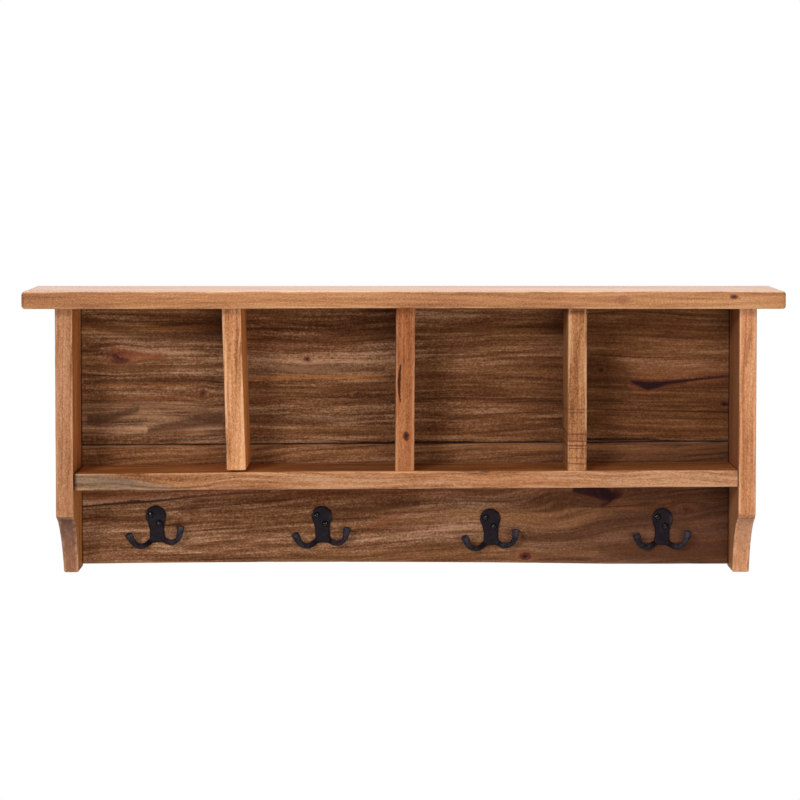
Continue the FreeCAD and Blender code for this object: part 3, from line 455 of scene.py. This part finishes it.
upper = board("upper_back", False, stations, upper_limits, BACK_ARRIS, 51, ends=BACK_ENDS, chips=14, grime=True)
upper_wood = oiled_wood(
    "upper_back_wood", False, deepen(umber, 1.10, 1.16, 1.22), 0.6, waves=0.026, drift=0.6, figure=(1.0, 1.15, 0.65),
    knots=[(-0.3520, 0.0080, 0.026, 0.015, 1.0), (-0.2510, -0.0366, 0.010, 0.010, 0.7),
           (-0.1220, 0.0056, 0.009, 0.006, 0.8), (-0.0600, -0.0379, 0.010, 0.007, 0.6),
           (0.2427, -0.0081, 0.007, 0.005, 0.9), (0.3965, -0.0504, 0.012, 0.006, 1.0)],
    strokes=[([(-0.402, -0.0700, 0.012), (-0.320, -0.0690, 0.014), (-0.226, -0.0740, 0.012)],
              0.014, 0.40, "light", 0.0),
             ([(-0.366, 0.0220, 0.001), (-0.354, 0.0130, 0.003), (-0.340, 0.0105, 0.003), (-0.320, 0.0095, 0.002),
               (-0.296, 0.0090, 0.0004)], 0.004, 0.9, "rust", 0.0),
             ([(-0.400, 0.0440, 0.002), (-0.316, 0.0430, 0.003), (-0.226, 0.0450, 0.002)],
              0.006, 0.35, "orange", 0.0),
             ([(-0.400, 0.0540, 0.003), (-0.316, 0.0330, 0.002), (-0.226, 0.0360, 0.003)], 0.008, 0.55, "dark", 0.0),
             ([(-0.400, -0.0030, 0.0005), (-0.317, -0.0040, 0.0008), (-0.226, -0.0010, 0.0006)],
              0.003, 0.5, "dark", 0.0),
             ([(-0.400, -0.0220, 0.0008), (-0.317, -0.0205, 0.0008), (-0.226, -0.0190, 0.0006)],
              0.003, 0.6, "dark", 0.0),
             ([(-0.380, -0.0280, 0.0005), (-0.317, -0.0265, 0.0008), (-0.258, -0.0250, 0.0008)],
              0.002, 0.45, "orange", 0.0),
             ([(-0.395, -0.0690, 0.003), (-0.370, -0.0680, 0.002), (-0.330, -0.0560, 0.0003)],
              0.006, 0.7, "dark", 0.0),
             ([(-0.320, -0.0830, 0.001), (-0.280, -0.0760, 0.003), (-0.250, -0.0690, 0.005),
               (-0.226, -0.0680, 0.004)], 0.007, 0.75, "dark", 0.0),
             ([(-0.199, -0.0204, 0.0008), (-0.140, -0.0170, 0.0012), (-0.087, -0.0172, 0.0007),
               (-0.022, -0.0160, 0.0010)], 0.003, 0.65, "orange", 0.0),
             ([(-0.199, -0.0092, 0.002), (-0.110, -0.0060, 0.003), (-0.025, -0.0068, 0.001)],
              0.006, 0.55, "dark", 0.0),
             ([(-0.199, -0.0650, 0.003), (-0.110, -0.0700, 0.003), (-0.025, -0.0640, 0.003)],
              0.007, 0.45, "dark", 0.0),
             ([(0.220, -0.0050, 0.010), (0.250, -0.0120, 0.016), (0.282, -0.0240, 0.006)], 0.016, 0.5, "dark", 0.0),
             ([(0.276, -0.0240, 0.002), (0.305, -0.0280, 0.007), (0.350, -0.0240, 0.003), (0.402, -0.0175, 0.002)],
              0.008, 0.6, "rust", 0.0),
             ([(0.278, -0.0225, 0.001), (0.301, -0.0270, 0.0046), (0.320, -0.0245, 0.0026), (0.350, -0.0210, 0.0008)],
              0.005, 0.8, "eye", 0.0),
             ([(0.281, -0.0225, 0.0002), (0.288, -0.0245, 0.0014), (0.301, -0.0282, 0.0040), (0.313, -0.0262, 0.0026),
               (0.330, -0.0232, 0.0008), (0.362, -0.0195, 0.0003), (0.403, -0.0156, 0.0002)],
              0.0024, 0.95, "purple", 0.7),
             ([(0.2190, -0.0962, 0.0012), (0.250, -0.0960, 0.0020), (0.280, -0.0955, 0.0012),
               (0.315, -0.0950, 0.0003)], 0.002, 0.9, "knot", 0.4),
             # Painted shade: a near-black line with a shallow groove along the joint with the lower board.
             ([(-0.4022, upper_joint - 0.4022 * FALL, 0.0006), (0.4022, upper_joint + 0.4022 * FALL, 0.0006)],
              0.0014, 0.95, "knot", 0.4)])
settle(upper, upper_wood, "back_wood", "upper_back_board")

low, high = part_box("lower_back_board")
rail_top = high.z - HALF_FALL


def rail_limits(x, low=low, high=high):
    arch = RAIL_ARCH * np.clip(1 - ((x - RAIL_ARCH_MIDDLE) / RAIL_ARCH_HALF) ** 2, 0, 1)
    return low.y, high.y, low.z + arch, rail_top + x * FALL


rail = board("hook_rail", False, stations, rail_limits, BACK_ARRIS, 61, ends=BACK_ENDS, chips=14, grime=True)
rail_wood = oiled_wood(
    "hook_rail_wood", False, {**deepen(umber, 1.33, 1.41, 1.56), "amber": tint(87, 54, 37)}, 4.4,
    waves=0.030, slope=0.05, drift=0.95, figure=(0.65, 1.0, 0.6),
    knots=[(0.2480, -0.1580, 0.036, 0.014, 1.0), (0.1490, -0.2405, 0.016, 0.009, 1.0),
           (0.3490, -0.1820, 0.018, 0.011, 0.5), (0.1920, -0.1790, 0.050, 0.032, 0.0)],
    strokes=[([(-0.4030, -0.1780, 0.0003), (-0.3850, -0.1762, 0.0006), (-0.3650, -0.1742, 0.0013),
               (-0.3350, -0.1722, 0.0013), (-0.3150, -0.1712, 0.0008), (-0.2550, -0.1645, 0.0008),
               (-0.2100, -0.1612, 0.0007), (-0.1680, -0.1590, 0.0005)], 0.0016, 0.9, "knot", 0.8),
             ([(-0.3900, -0.1680, 0.001), (-0.3600, -0.1660, 0.002), (-0.3200, -0.1640, 0.001)],
              0.005, 0.6, "rust", 0.0),
             ([(-0.0940, -0.1820, 0.0005), (-0.0440, -0.1820, 0.0016), (-0.0130, -0.1770, 0.0018),
               (0.0180, -0.1750, 0.0004)], 0.004, 0.8, "dark", 0.0),
             ([(-0.2800, -0.1820, 0.002), (-0.2600, -0.1770, 0.004), (-0.2450, -0.1700, 0.001)],
              0.005, 0.5, "dark", 0.0),
             ([(-0.0480, -0.2100, 0.002), (-0.0300, -0.1980, 0.004), (-0.0100, -0.1900, 0.002)],
              0.008, 0.5, "rust", 0.0),
             ([(0.2400, -0.2310, 0.001), (0.2900, -0.2340, 0.005), (0.3300, -0.2350, 0.006),
               (0.4022, -0.2320, 0.006)], 0.009, 0.65, "dark", 0.0),
             ([(0.1440, -0.2190, 0.001), (0.2000, -0.2130, 0.002), (0.2600, -0.1990, 0.002),
               (0.3100, -0.1900, 0.001)], 0.005, 0.55, "dark", 0.0),
             ([(0.2500, -0.1720, 0.002), (0.2850, -0.1780, 0.003), (0.3300, -0.1730, 0.001)],
              0.006, 0.6, "rust", 0.0),
             # A reddish band just under the shelf: the wood's tone, deepened as painted shade under the shelf.
             ([(-0.4022, -0.1560, 0.006), (0.1500, -0.1520, 0.006), (0.4022, -0.1500, 0.002)],
              0.012, 0.4, "rust", 0.0),
             ([(-0.4022, -0.1130, 0.008), (0.4022, -0.1090, 0.008)], 0.008, 0.12, "orange", 0.0),
             ([(0.2080, -0.1570, 0.0010), (0.2200, -0.1570, 0.0035), (0.2350, -0.1590, 0.0050),
               (0.2480, -0.1625, 0.0060), (0.2550, -0.1650, 0.0040), (0.2640, -0.1630, 0.0015),
               (0.2720, -0.1590, 0.0003)], 0.007, 0.92, "purple", 0.0),
             ([(0.2430, -0.1605, 0.0006), (0.2490, -0.1630, 0.0026), (0.2560, -0.1655, 0.0018),
               (0.2610, -0.1645, 0.0003)], 0.004, 0.7, "purple", 0.3),
             ([(0.2430, -0.1780, 0.0004), (0.2500, -0.1750, 0.0010), (0.2570, -0.1690, 0.0015)],
              0.0025, 0.7, "purple", 0.3),
             # Painted shade: a near-black line with a shallow groove along the joint with the upper board.
             ([(-0.4022, rail_top - 0.4022 * FALL, 0.0004), (0.4022, rail_top + 0.4022 * FALL, 0.0004)],
              0.0010, 0.95, "knot", 0.4)])
settle(rail, rail_wood, "back_wood", "lower_back_board")

# Cubby shelf
# A board between the sides, dowelled at its ends and screwed through the rail. It falls slightly to the
# left, its front is paler than the boards behind it, and its left end has greyed.

SHELF_THICKNESS = 0.0205
SHELF_ARRIS = 0.0016
SHELF_ENDS = (0.0006, 0.0005)
SHELF_GAP = 0.0012
SHELF_CROWN = 0.0013
low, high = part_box("cubby_shelf")
shelf_top = high.z - HALF_FALL


def shelf_face(x):
    """The height of the shelf's top, which falls to the left and is crowned in the middle."""
    return shelf_top + x * FALL + SHELF_CROWN * np.exp(-((x + 0.08) / 0.18) ** 2)


def shelf_limits(x, low=low, high=high):
    return low.y, high.y, shelf_top - SHELF_THICKNESS + x * FALL, shelf_face(x)


shelf_stations = np.unique(np.clip(stations, stations[0] + SHELF_GAP, stations[-1]))
shelf = board("shelf", False, shelf_stations, shelf_limits, SHELF_ARRIS, 71, ends=SHELF_ENDS, chips=16, grime=True)
shelf_wood = oiled_wood(
    "shelf_wood_finish", False, deepen(honey, 0.74, 0.76, 0.84), 12.3, figure=(1.2, 1.3, 0.7), waves=0.05,
    knots=[(0.0860, -0.1200, 0.034, 0.016, 0.35), (0.0600, -0.1420, 0.03, 0.012, 0.0),
           (-0.2900, -0.1260, 0.05, 0.018, 0.0)],
    strokes=[([(-0.403, -0.1360, 0.0060), (-0.365, -0.1370, 0.0050), (-0.320, -0.1430, 0.0030),
               (-0.270, -0.1500, 0.0)], 0.009, 0.95, "grey", 0.0),
             # Painted light over the shelf's top face, which the top board shades.
             ([(-0.4022, shelf_top - 0.0020, 0.0005), (0.4022, shelf_top + 0.0026, 0.0005)],
              0.0014, 0.6, "painted_light", 0.0)])
settle(shelf, shelf_wood, "shelf_wood", "cubby_shelf")

# Dividers
# Three short upright boards that part the cubbies, dowelled to the top board and the shelf. The left one
# leans, the middle one has a split and a small knot, and the right one still shows saw marks.

DIVIDER_HALF = 0.0115
for name, head, lean, shift, seed, raised, skew, details in (
        ("left_divider", -0.2109, 0.0058, 5.2, 81, 0.0024, 0.0018, {
            "tones": deepen(honey, 1.22, 1.31, 1.47),
            # Painted light over the right face and edge of the left divider.
            "strokes": [([(-0.1300, -0.1928, 0.0012), (0.0740, -0.1985, 0.0012)], 0.0016, 0.7, "painted_light", 0.0)]}),
        ("center_divider", -0.0004, -0.0012, 9.9, 91, 0.0, 0.0, {
            "tones": deepen(honey, 0.76, 0.65, 0.62),
            "knots": [(-0.0810, 0.0, 0.011, 0.008, 1.0)],
            "strokes": [([(-0.0400, -0.0066, 0.0004), (-0.0280, -0.0080, 0.0012), (-0.0180, -0.0085, 0.0016),
                          (-0.0060, -0.0080, 0.0010), (0.0060, -0.0062, 0.0004)], 0.0014, 0.95, "knot", 0.9)]}),
        ("right_divider", 0.2069, 0.0, 14.6, 101, 0.0, 0.0, {
            "tones": deepen(honey, 0.98, 1.08, 1.20),
            "saw_marks": [(0.0705, 0.0070, 0.6), (0.0690, 0.0014, 0.7), (-0.0490, 0.0010, 0.6),
                          (-0.0530, 0.0010, 0.7), (-0.0665, 0.0009, 0.5), (-0.0820, 0.0060, 0.4),
                          (-0.0790, 0.0012, 0.8), (-0.0875, 0.0012, 1.0), (-0.0930, 0.0013, 1.0),
                          (-0.0965, 0.0010, 0.8), (-0.1080, 0.0012, 0.6), (-0.1150, 0.0012, 0.8)]})):
    low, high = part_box(name)
    foot = shelf_face(head + lean) + raised

    def stand(vertices, head=head, lean=lean, foot=foot, top=high.z, front=low.y, deep=high.y - low.y, skew=skew):
        drop = (top - vertices[:, :, 2]) / (top - foot)
        vertices[:, :, 2] += (vertices[:, :, 0] - head) * FALL * drop
        vertices[:, :, 0] += lean * drop + skew * (vertices[:, :, 1] - front) / deep
        return vertices

    def divider_limits(z, low=low, high=high, head=head):
        return head - DIVIDER_HALF, head + DIVIDER_HALF, low.y, high.y

    arris, foot_ease = (0.0024, 0.0012) if raised else (0.0017, 0.0006)
    upright = board(name + "_board", True, np.linspace(foot, high.z, 44), divider_limits, arris, seed,
                    ends=(foot_ease, 0.0003), tilt=stand)
    finish = oiled_wood(name + "_finish", True, shift=shift, figure=(0.9, 0.8, 0.6), **details)
    settle(upright, finish, "divider_wood", name)

# Top board
# One thick board over everything, wider than the rest on all sides but the rear, with softly worn edges.
# Dowels from below hold it; its top is the palest face.

TOP_ARRIS = 0.0011
TOP_ENDS = (0.0045, 0.0036)
CUP = 0.0008
DROOP = 0.0010
LIP_REAR = -0.1430
LIP_DEPTH = 0.028
FACE_DEPTH = 0.004
low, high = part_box("top_board")


def warp(vertices, low=low, high=high):
    """The board has cupped a little, and the foot of its front lip droops towards the ends."""
    x, y, z = [vertices[:, :, axis] for axis in range(3)]
    cupped = CUP * (y - low.y) / (high.y - low.y) * (z > high.z - FACE_DEPTH)
    lip = np.clip((LIP_REAR - y) / LIP_DEPTH, 0, 1) * (z < low.z + FACE_DEPTH)
    drooped = DROOP * lip * (1 - np.exp(-((x + 0.03) / 0.20) ** 2))
    vertices[:, :, 2] = z + cupped - drooped
    return vertices


def top_limits(x, low=low, high=high):
    return low.y, high.y, low.z, high.z


top = board("top", False, np.linspace(low.x, high.x, 170), top_limits, TOP_ARRIS, 111, ends=TOP_ENDS,
            chips=18, tilt=warp)
top_wood = oiled_wood(
    "top_wood_finish", False, deepen(honey, 0.87, 0.87, 0.82), 17.4, figure=(0.65, 0.8, 0.65), waves=0.02,
    knots=[(0.3920, 0.0884, 0.010, 0.0055, 1.0)], coat=0.74,
    strokes=[([(0.2500, 0.0850, 0.0), (0.2590, 0.0850, 0.004), (0.2680, 0.0850, 0.0)], 0.004, 0.5, "dark", 0.0)])
settle(top, top_wood, "top_wood", "top_board")

# Dowels and rear screws
# Grooved beech pins in the joints, and plated countersunk screws driven through the back boards into the
# shelf and the dividers. They keep their exact solids.

beech = {"dark": tint(176, 138, 98), "low": tint(205, 168, 124), "middle": tint(216, 182, 140),
         "light": tint(230, 200, 160), "rust": tint(206, 160, 112), "knot": tint(140, 100, 66),
         "worn": tint(230, 200, 160)}
dowel_wood = oiled_wood("dowel_beech", False, beech, 21.0, figure=(0.4, 0.5, 0.5))


def plain_metal(name, dark, light, metallic, rough, grain, specular, rubbed=None):
    """A metal or paint with fine mottling in its colour, gloss and surface, paler where it is rubbed and where light
    is painted on it.
    """
    material = bpy.data.materials.new(name)
    material.use_nodes = True
    tree = material.node_tree
    shader = tree.nodes["Principled BSDF"]
    place = Shade(tree).node("ShaderNodeTexCoord", output="Object")
    x = place.node("ShaderNodeSeparateXYZ", None, {0: place})
    y, z = x.beside("Y"), x.beside("Z")
    cloud = x.noise(x * 160.0, y * 160.0, z * 160.0, 3.0)
    speck = x.noise(x * grain, y * grain, z * grain, 2.0, 0.6)
    color = x.node("ShaderNodeValToRGB", {"stops": [(0.3, dark), (0.75, light)]}, {0: cloud * 0.6 + speck * 0.4})
    if rubbed:
        paler_share = x.node("ShaderNodeAttribute", {"attribute_name": "rubbed"}, None, "Fac")
        color = color.blend(paler_share * (cloud * 0.5 + speck * 0.5).between(0.38, 0.62), rubbed)
    tree.links.new(color.socket, shader.inputs["Base Color"])
    tree.links.new((rough + (cloud - 0.5) * 0.25).socket, shader.inputs["Roughness"])
    relief = x.node("ShaderNodeBump", None, {"Strength": 0.45, "Distance": 0.00025, "Height": speck})
    tree.links.new(relief.socket, shader.inputs["Normal"])
    shader.inputs["Metallic"].default_value = metallic
    shader.inputs["Specular IOR Level"].default_value = specular
    return material


plated = plain_metal("zinc_plate", tint(150, 148, 142), tint(196, 194, 188), 1.0, 0.34, 1500.0, 0.5)


def dress(material, *names):
    """Puts a finish on solids that are shown as they are."""
    for name in names:
        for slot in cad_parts[name].material_slots:
            slot.material = material


dress(dowel_wood, "top_board_dowels", "divider_foot_dowels", "shelf_end_dowels", "back_board_dowels")
dress(plated, "shelf_back_screws", "divider_back_screws")

# Keyhole hangers
# Two plated plates let flush into the rear of the upper back board, each with an entry hole, a narrow
# slot above it and two small countersunk screws.

dress(plated, "left_keyhole_hanger", "right_keyhole_hanger", "left_hanger_screws", "right_hanger_screws")

# Coat hooks
# Four cast double hooks in matt black: a shield plate with two prongs that splay out and turn up. The
# casting's creases are softened, its skin is slightly uneven and its prongs are rubbed paler, with painted
# light on their faces that look up and forward.

HOOKS = range(1, 5)
CAST_VOXEL = 0.0005
CAST_WELD = 0.00001
CAST_PITCH = 420.0
CAST_SWELL = 0.00012
PLATE_HALF = 0.0095
RUB_FADE = 0.007
TIP_RISE = 0.010
cast_black = plain_metal("cast_black", tint(19, 13, 18), tint(35, 27, 33), 0.0, 0.42, 900.0, 0.11, tint(84, 78, 86))
for number in HOOKS:
    node = f"coat_hook_{number}"
    hook = bpy.data.objects.new(f"hook_casting_{number}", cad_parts[node].data.copy())
    bpy.context.scene.collection.objects.link(hook)
    weld = hook.modifiers.new("weld", "WELD")
    weld.merge_threshold = CAST_WELD
    skin = hook.modifiers.new("skin", "REMESH")
    skin.mode = "VOXEL"
    skin.voxel_size = CAST_VOXEL
    skin.use_smooth_shade = True
    soften = hook.modifiers.new("soften", "SMOOTH")
    soften.factor = 0.5
    soften.iterations = 14
    bpy.context.view_layer.update()
    cast = bpy.data.meshes.new_from_object(hook.evaluated_get(bpy.context.evaluated_depsgraph_get()))
    hook.modifiers.clear()
    hook.data = cast
    points = np.zeros(len(cast.vertices) * 3)
    cast.vertices.foreach_get("co", points)
    normals = np.zeros(len(cast.vertices) * 3)
    cast.vertices.foreach_get("normal", normals)
    points = points.reshape(-1, 3)
    phase_x, phase_y, phase_z = (points * CAST_PITCH + number * 2.1).T
    swell = np.sin(phase_x + 1.7 * np.sin(phase_z)) * np.sin(phase_z * 0.8 + np.sin(phase_y)) * CAST_SWELL
    normals = normals.reshape(-1, 3)
    cast.vertices.foreach_set("co", (points + normals * swell[:, None]).ravel())
    low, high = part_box(node)
    prong = np.clip((abs(points[:, 0] - (low.x + high.x) / 2) - PLATE_HALF) / RUB_FADE, 0, 1)
    tip = np.clip((points[:, 2] - low.z - TIP_RISE) / TIP_RISE, 0, 1)
    # Paler prongs: rubbed paint towards the tips, and painted light on the faces that look up or to the front.
    facing = np.clip(0.25 + 0.5 * normals[:, 2] - 0.55 * normals[:, 1], 0, 1)
    rubbed = prong * facing * (0.55 + 0.45 * tip)
    cast.attributes.new("rubbed", "FLOAT", "POINT").data.foreach_set("value", rubbed)
    cast.update()
    settle(hook, cast_black, "hook_iron", node)

# Hook screws
# Two black round-head screws with a cross recess hold each hook, one high on the left and one lower on
# the right. One head is shaped once and set on the eight places.

HEAD_RADIUS = 0.0041
HEAD_DOME = 0.0027
screw_black = plain_metal("screw_black", tint(8, 6, 7), tint(18, 15, 16), 0.0, 0.14, 700.0, 0.40)


def screw_head_tree():
    """Round heads with a cross recess on the points of a mesh, each turned by its own amount."""
    tree = bpy.data.node_groups.new("screw_heads", "GeometryNodeTree")
    for name, kind, way in (("Places", "NodeSocketGeometry", "INPUT"), ("Radius", "NodeSocketFloat", "INPUT"),
                            ("Dome", "NodeSocketFloat", "INPUT"), ("Seed", "NodeSocketInt", "INPUT"),
                            ("Finish", "NodeSocketMaterial", "INPUT"), ("Heads", "NodeSocketGeometry", "OUTPUT")):
        tree.interface.new_socket(name, in_out=way, socket_type=kind)
    start = Shade(tree).node("NodeGroupInput")
    radius, dome = start.beside("Radius"), start.beside("Dome")
    ball = start.node("GeometryNodeMeshUVSphere", None, {"Segments": 40, "Rings": 28, "Radius": 1.0}, "Mesh")
    place = start.node("GeometryNodeInputPosition")
    x = start.node("ShaderNodeSeparateXYZ", None, {0: place})
    y, z = x.beside("Y"), x.beside("Z")
    slot_x = x.size().between(0.20, 0.13) * y.size().between(0.58, 0.50)
    slot_y = y.size().between(0.20, 0.13) * x.size().between(0.58, 0.50)
    recess = slot_x.most(slot_y) * z.between(0.3, 0.5)
    lifted = z.most(0.0) * (1.0 - recess * 0.10) * dome
    shaped = start.node("ShaderNodeCombineXYZ", None, {"X": x * radius, "Y": lifted * -1.0, "Z": y * radius})
    head = start.node("GeometryNodeSetPosition", None, {"Geometry": ball, "Position": shaped})
    smooth = start.node("GeometryNodeSetShadeSmooth", None, {"Geometry": head, "Shade Smooth": True})
    turn = start.node("FunctionNodeRandomValue", {"data_type": "FLOAT"},
                      {2: 0.0, 3: 1.57, "Seed": start.beside("Seed")}, 1)
    facing = start.node("ShaderNodeCombineXYZ", None, {"X": 0.0, "Y": turn, "Z": 0.0})
    copies = start.node("GeometryNodeInstanceOnPoints", None,
                        {"Points": start.beside("Places"), "Instance": smooth, "Rotation": facing})
    real = start.node("GeometryNodeRealizeInstances", None, {"Geometry": copies})
    done = start.node("GeometryNodeSetMaterial", None, {"Geometry": real, "Material": start.beside("Finish")})
    end = tree.nodes.new("NodeGroupOutput")
    tree.links.new(done.socket, end.inputs[0])
    return tree


seats = []
for number in HOOKS:
    low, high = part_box(f"coat_hook_screws_{number}")
    seats.append((low.x + HEAD_RADIUS, low.y + HEAD_DOME, high.z - HEAD_RADIUS))
    seats.append((high.x - HEAD_RADIUS, low.y + HEAD_DOME, low.z + HEAD_RADIUS))
seat_mesh = bpy.data.meshes.new("hook_screw_heads")
seat_mesh.from_pydata(seats, [], [])
heads = bpy.data.objects.new("hook_screw_heads", seat_mesh)
bpy.context.scene.collection.objects.link(heads)
setting = heads.modifiers.new("screw_heads", "NODES")
setting.node_group = screw_head_tree()
given = {"Radius": HEAD_RADIUS, "Dome": HEAD_DOME, "Seed": 7, "Finish": screw_black}
for item in setting.node_group.interface.items_tree:
    if item.name in given:
        setting[item.identifier] = given[item.name]
bpy.context.view_layer.update()
heads_mesh = bpy.data.meshes.new_from_object(heads.evaluated_get(bpy.context.evaluated_depsgraph_get()))
heads.modifiers.clear()
heads.data = heads_mesh
settle(heads, screw_black, "black_screw", *[f"coat_hook_screws_{number}" for number in HOOKS])

# Floor, light and camera
# The rack hangs at its usual height over a plain pale floor, against white, in soft studio light from the
# front left, the front right and above, with a lamp behind for the rear. The camera stands a little above
# the rack, four and a half metres away.

FLOOR_DROP = 1.60
FLOOR_REACH = 60
AMBIENT = 0.28
floor_mesh = bpy.data.meshes.new("floor")
corners = ((-1, -1), (1, -1), (1, 1), (-1, 1))
floor_mesh.from_pydata([(x * FLOOR_REACH, y * FLOOR_REACH, -FLOOR_DROP) for x, y in corners], [], [(0, 1, 2, 3)])
floor = bpy.data.objects.new("floor", floor_mesh)
bpy.context.scene.collection.objects.link(floor)
pale = bpy.data.materials.new("pale_floor")
pale.use_nodes = True
tree = pale.node_tree
floor_shader = tree.nodes["Principled BSDF"]
floor_shader.inputs["Base Color"].default_value = (0.55, 0.55, 0.55, 1.0)
floor_shader.inputs["Roughness"].default_value = 0.9
floor_shader.inputs["Specular IOR Level"].default_value = 0.1
ray = Shade(tree).node("ShaderNodeLightPath", output="Is Camera Ray")
seen = ray.most(ray.beside("Is Transmission Ray"))
spot = ray.node("ShaderNodeTexCoord", output="Object")
away = ray.node("ShaderNodeVectorMath", {"operation": "LENGTH"}, {0: spot}, "Value")
glow = ray.node("ShaderNodeEmission", None, {"Color": (1.0, 1.0, 1.0, 1.0), "Strength": 1.0})
mixed = ray.node("ShaderNodeMixShader", None, {0: seen * (0.7 + 0.3 * away.between(3.0, 5.5)), 2: glow})
tree.links.new(floor_shader.outputs[0], mixed.socket.node.inputs[1])
tree.links.new(mixed.socket, tree.nodes["Material Output"].inputs["Surface"])
floor_mesh.materials.append(pale)

world = bpy.data.worlds.new("studio")
bpy.context.scene.world = world
world.use_nodes = True
tree = world.node_tree
ray = Shade(tree).node("ShaderNodeLightPath", output="Is Camera Ray")
way = ray.node("ShaderNodeSeparateXYZ", None, {0: ray.node("ShaderNodeTexCoord", output="Generated")}, "Y")
mirrored = ray.beside("Is Glossy Ray") * way.between(-0.25, 0.25)
seen = ray.most(ray.beside("Is Transmission Ray")).most(mirrored)
backdrop = tree.nodes["Background"]
backdrop.inputs["Color"].default_value = (1.0, 1.0, 1.0, 1.0)
strength = AMBIENT + seen * (1 - AMBIENT)
tree.links.new(strength.socket, backdrop.inputs["Strength"])


def soft_lamp(name, place, target, size, power):
    """A rectangular lamp at a place, turned towards a target."""
    lamp = bpy.data.lights.new(name, "AREA")
    lamp.shape = "RECTANGLE"
    lamp.size, lamp.size_y = size
    lamp.energy = power
    stand = bpy.data.objects.new(name, lamp)
    stand.location = place
    stand.rotation_euler = (Vector(target) - Vector(place)).to_track_quat("-Z", "Y").to_euler()
    bpy.context.scene.collection.objects.link(stand)
    return stand


RACK_MIDDLE = (0.0, 0.0, -0.1)
soft_lamp("key", (-2.9, -8.3, 2.25), RACK_MIDDLE, (1.8, 1.4), 332.0)
fill = soft_lamp("fill", (1.15, -6.0, -0.2), RACK_MIDDLE, (2.6, 1.6), 145.0)
fill.visible_glossy = False
rear = soft_lamp("rear", (-0.9, 5.0, -0.2), RACK_MIDDLE, (2.6, 1.6), 130.0)
rear.visible_camera = False
rear.visible_glossy = False
soft_lamp("overhead", (0.0, -0.1, 1.5), (0.0, -0.09, 0.0), (1.4, 0.7), 30.0)

CAMERA_PLACE = (-0.0297, -4.53585, 0.24964)
YAW, PITCH = 0.0051, 0.0652
LENS, SENSOR = 164.178, 36.0
camera_data = bpy.data.cameras.new("camera")
camera_data.lens = LENS
camera_data.sensor_width = SENSOR
camera = bpy.data.objects.new("camera", camera_data)
camera.location = CAMERA_PLACE
forward = Vector((math.sin(YAW) * math.cos(PITCH), math.cos(YAW) * math.cos(PITCH), -math.sin(PITCH)))
camera.rotation_euler = forward.to_track_quat("-Z", "Y").to_euler()
bpy.context.scene.collection.objects.link(camera)
bpy.context.scene.camera = camera
bpy.context.scene.view_settings.view_transform = "Standard"
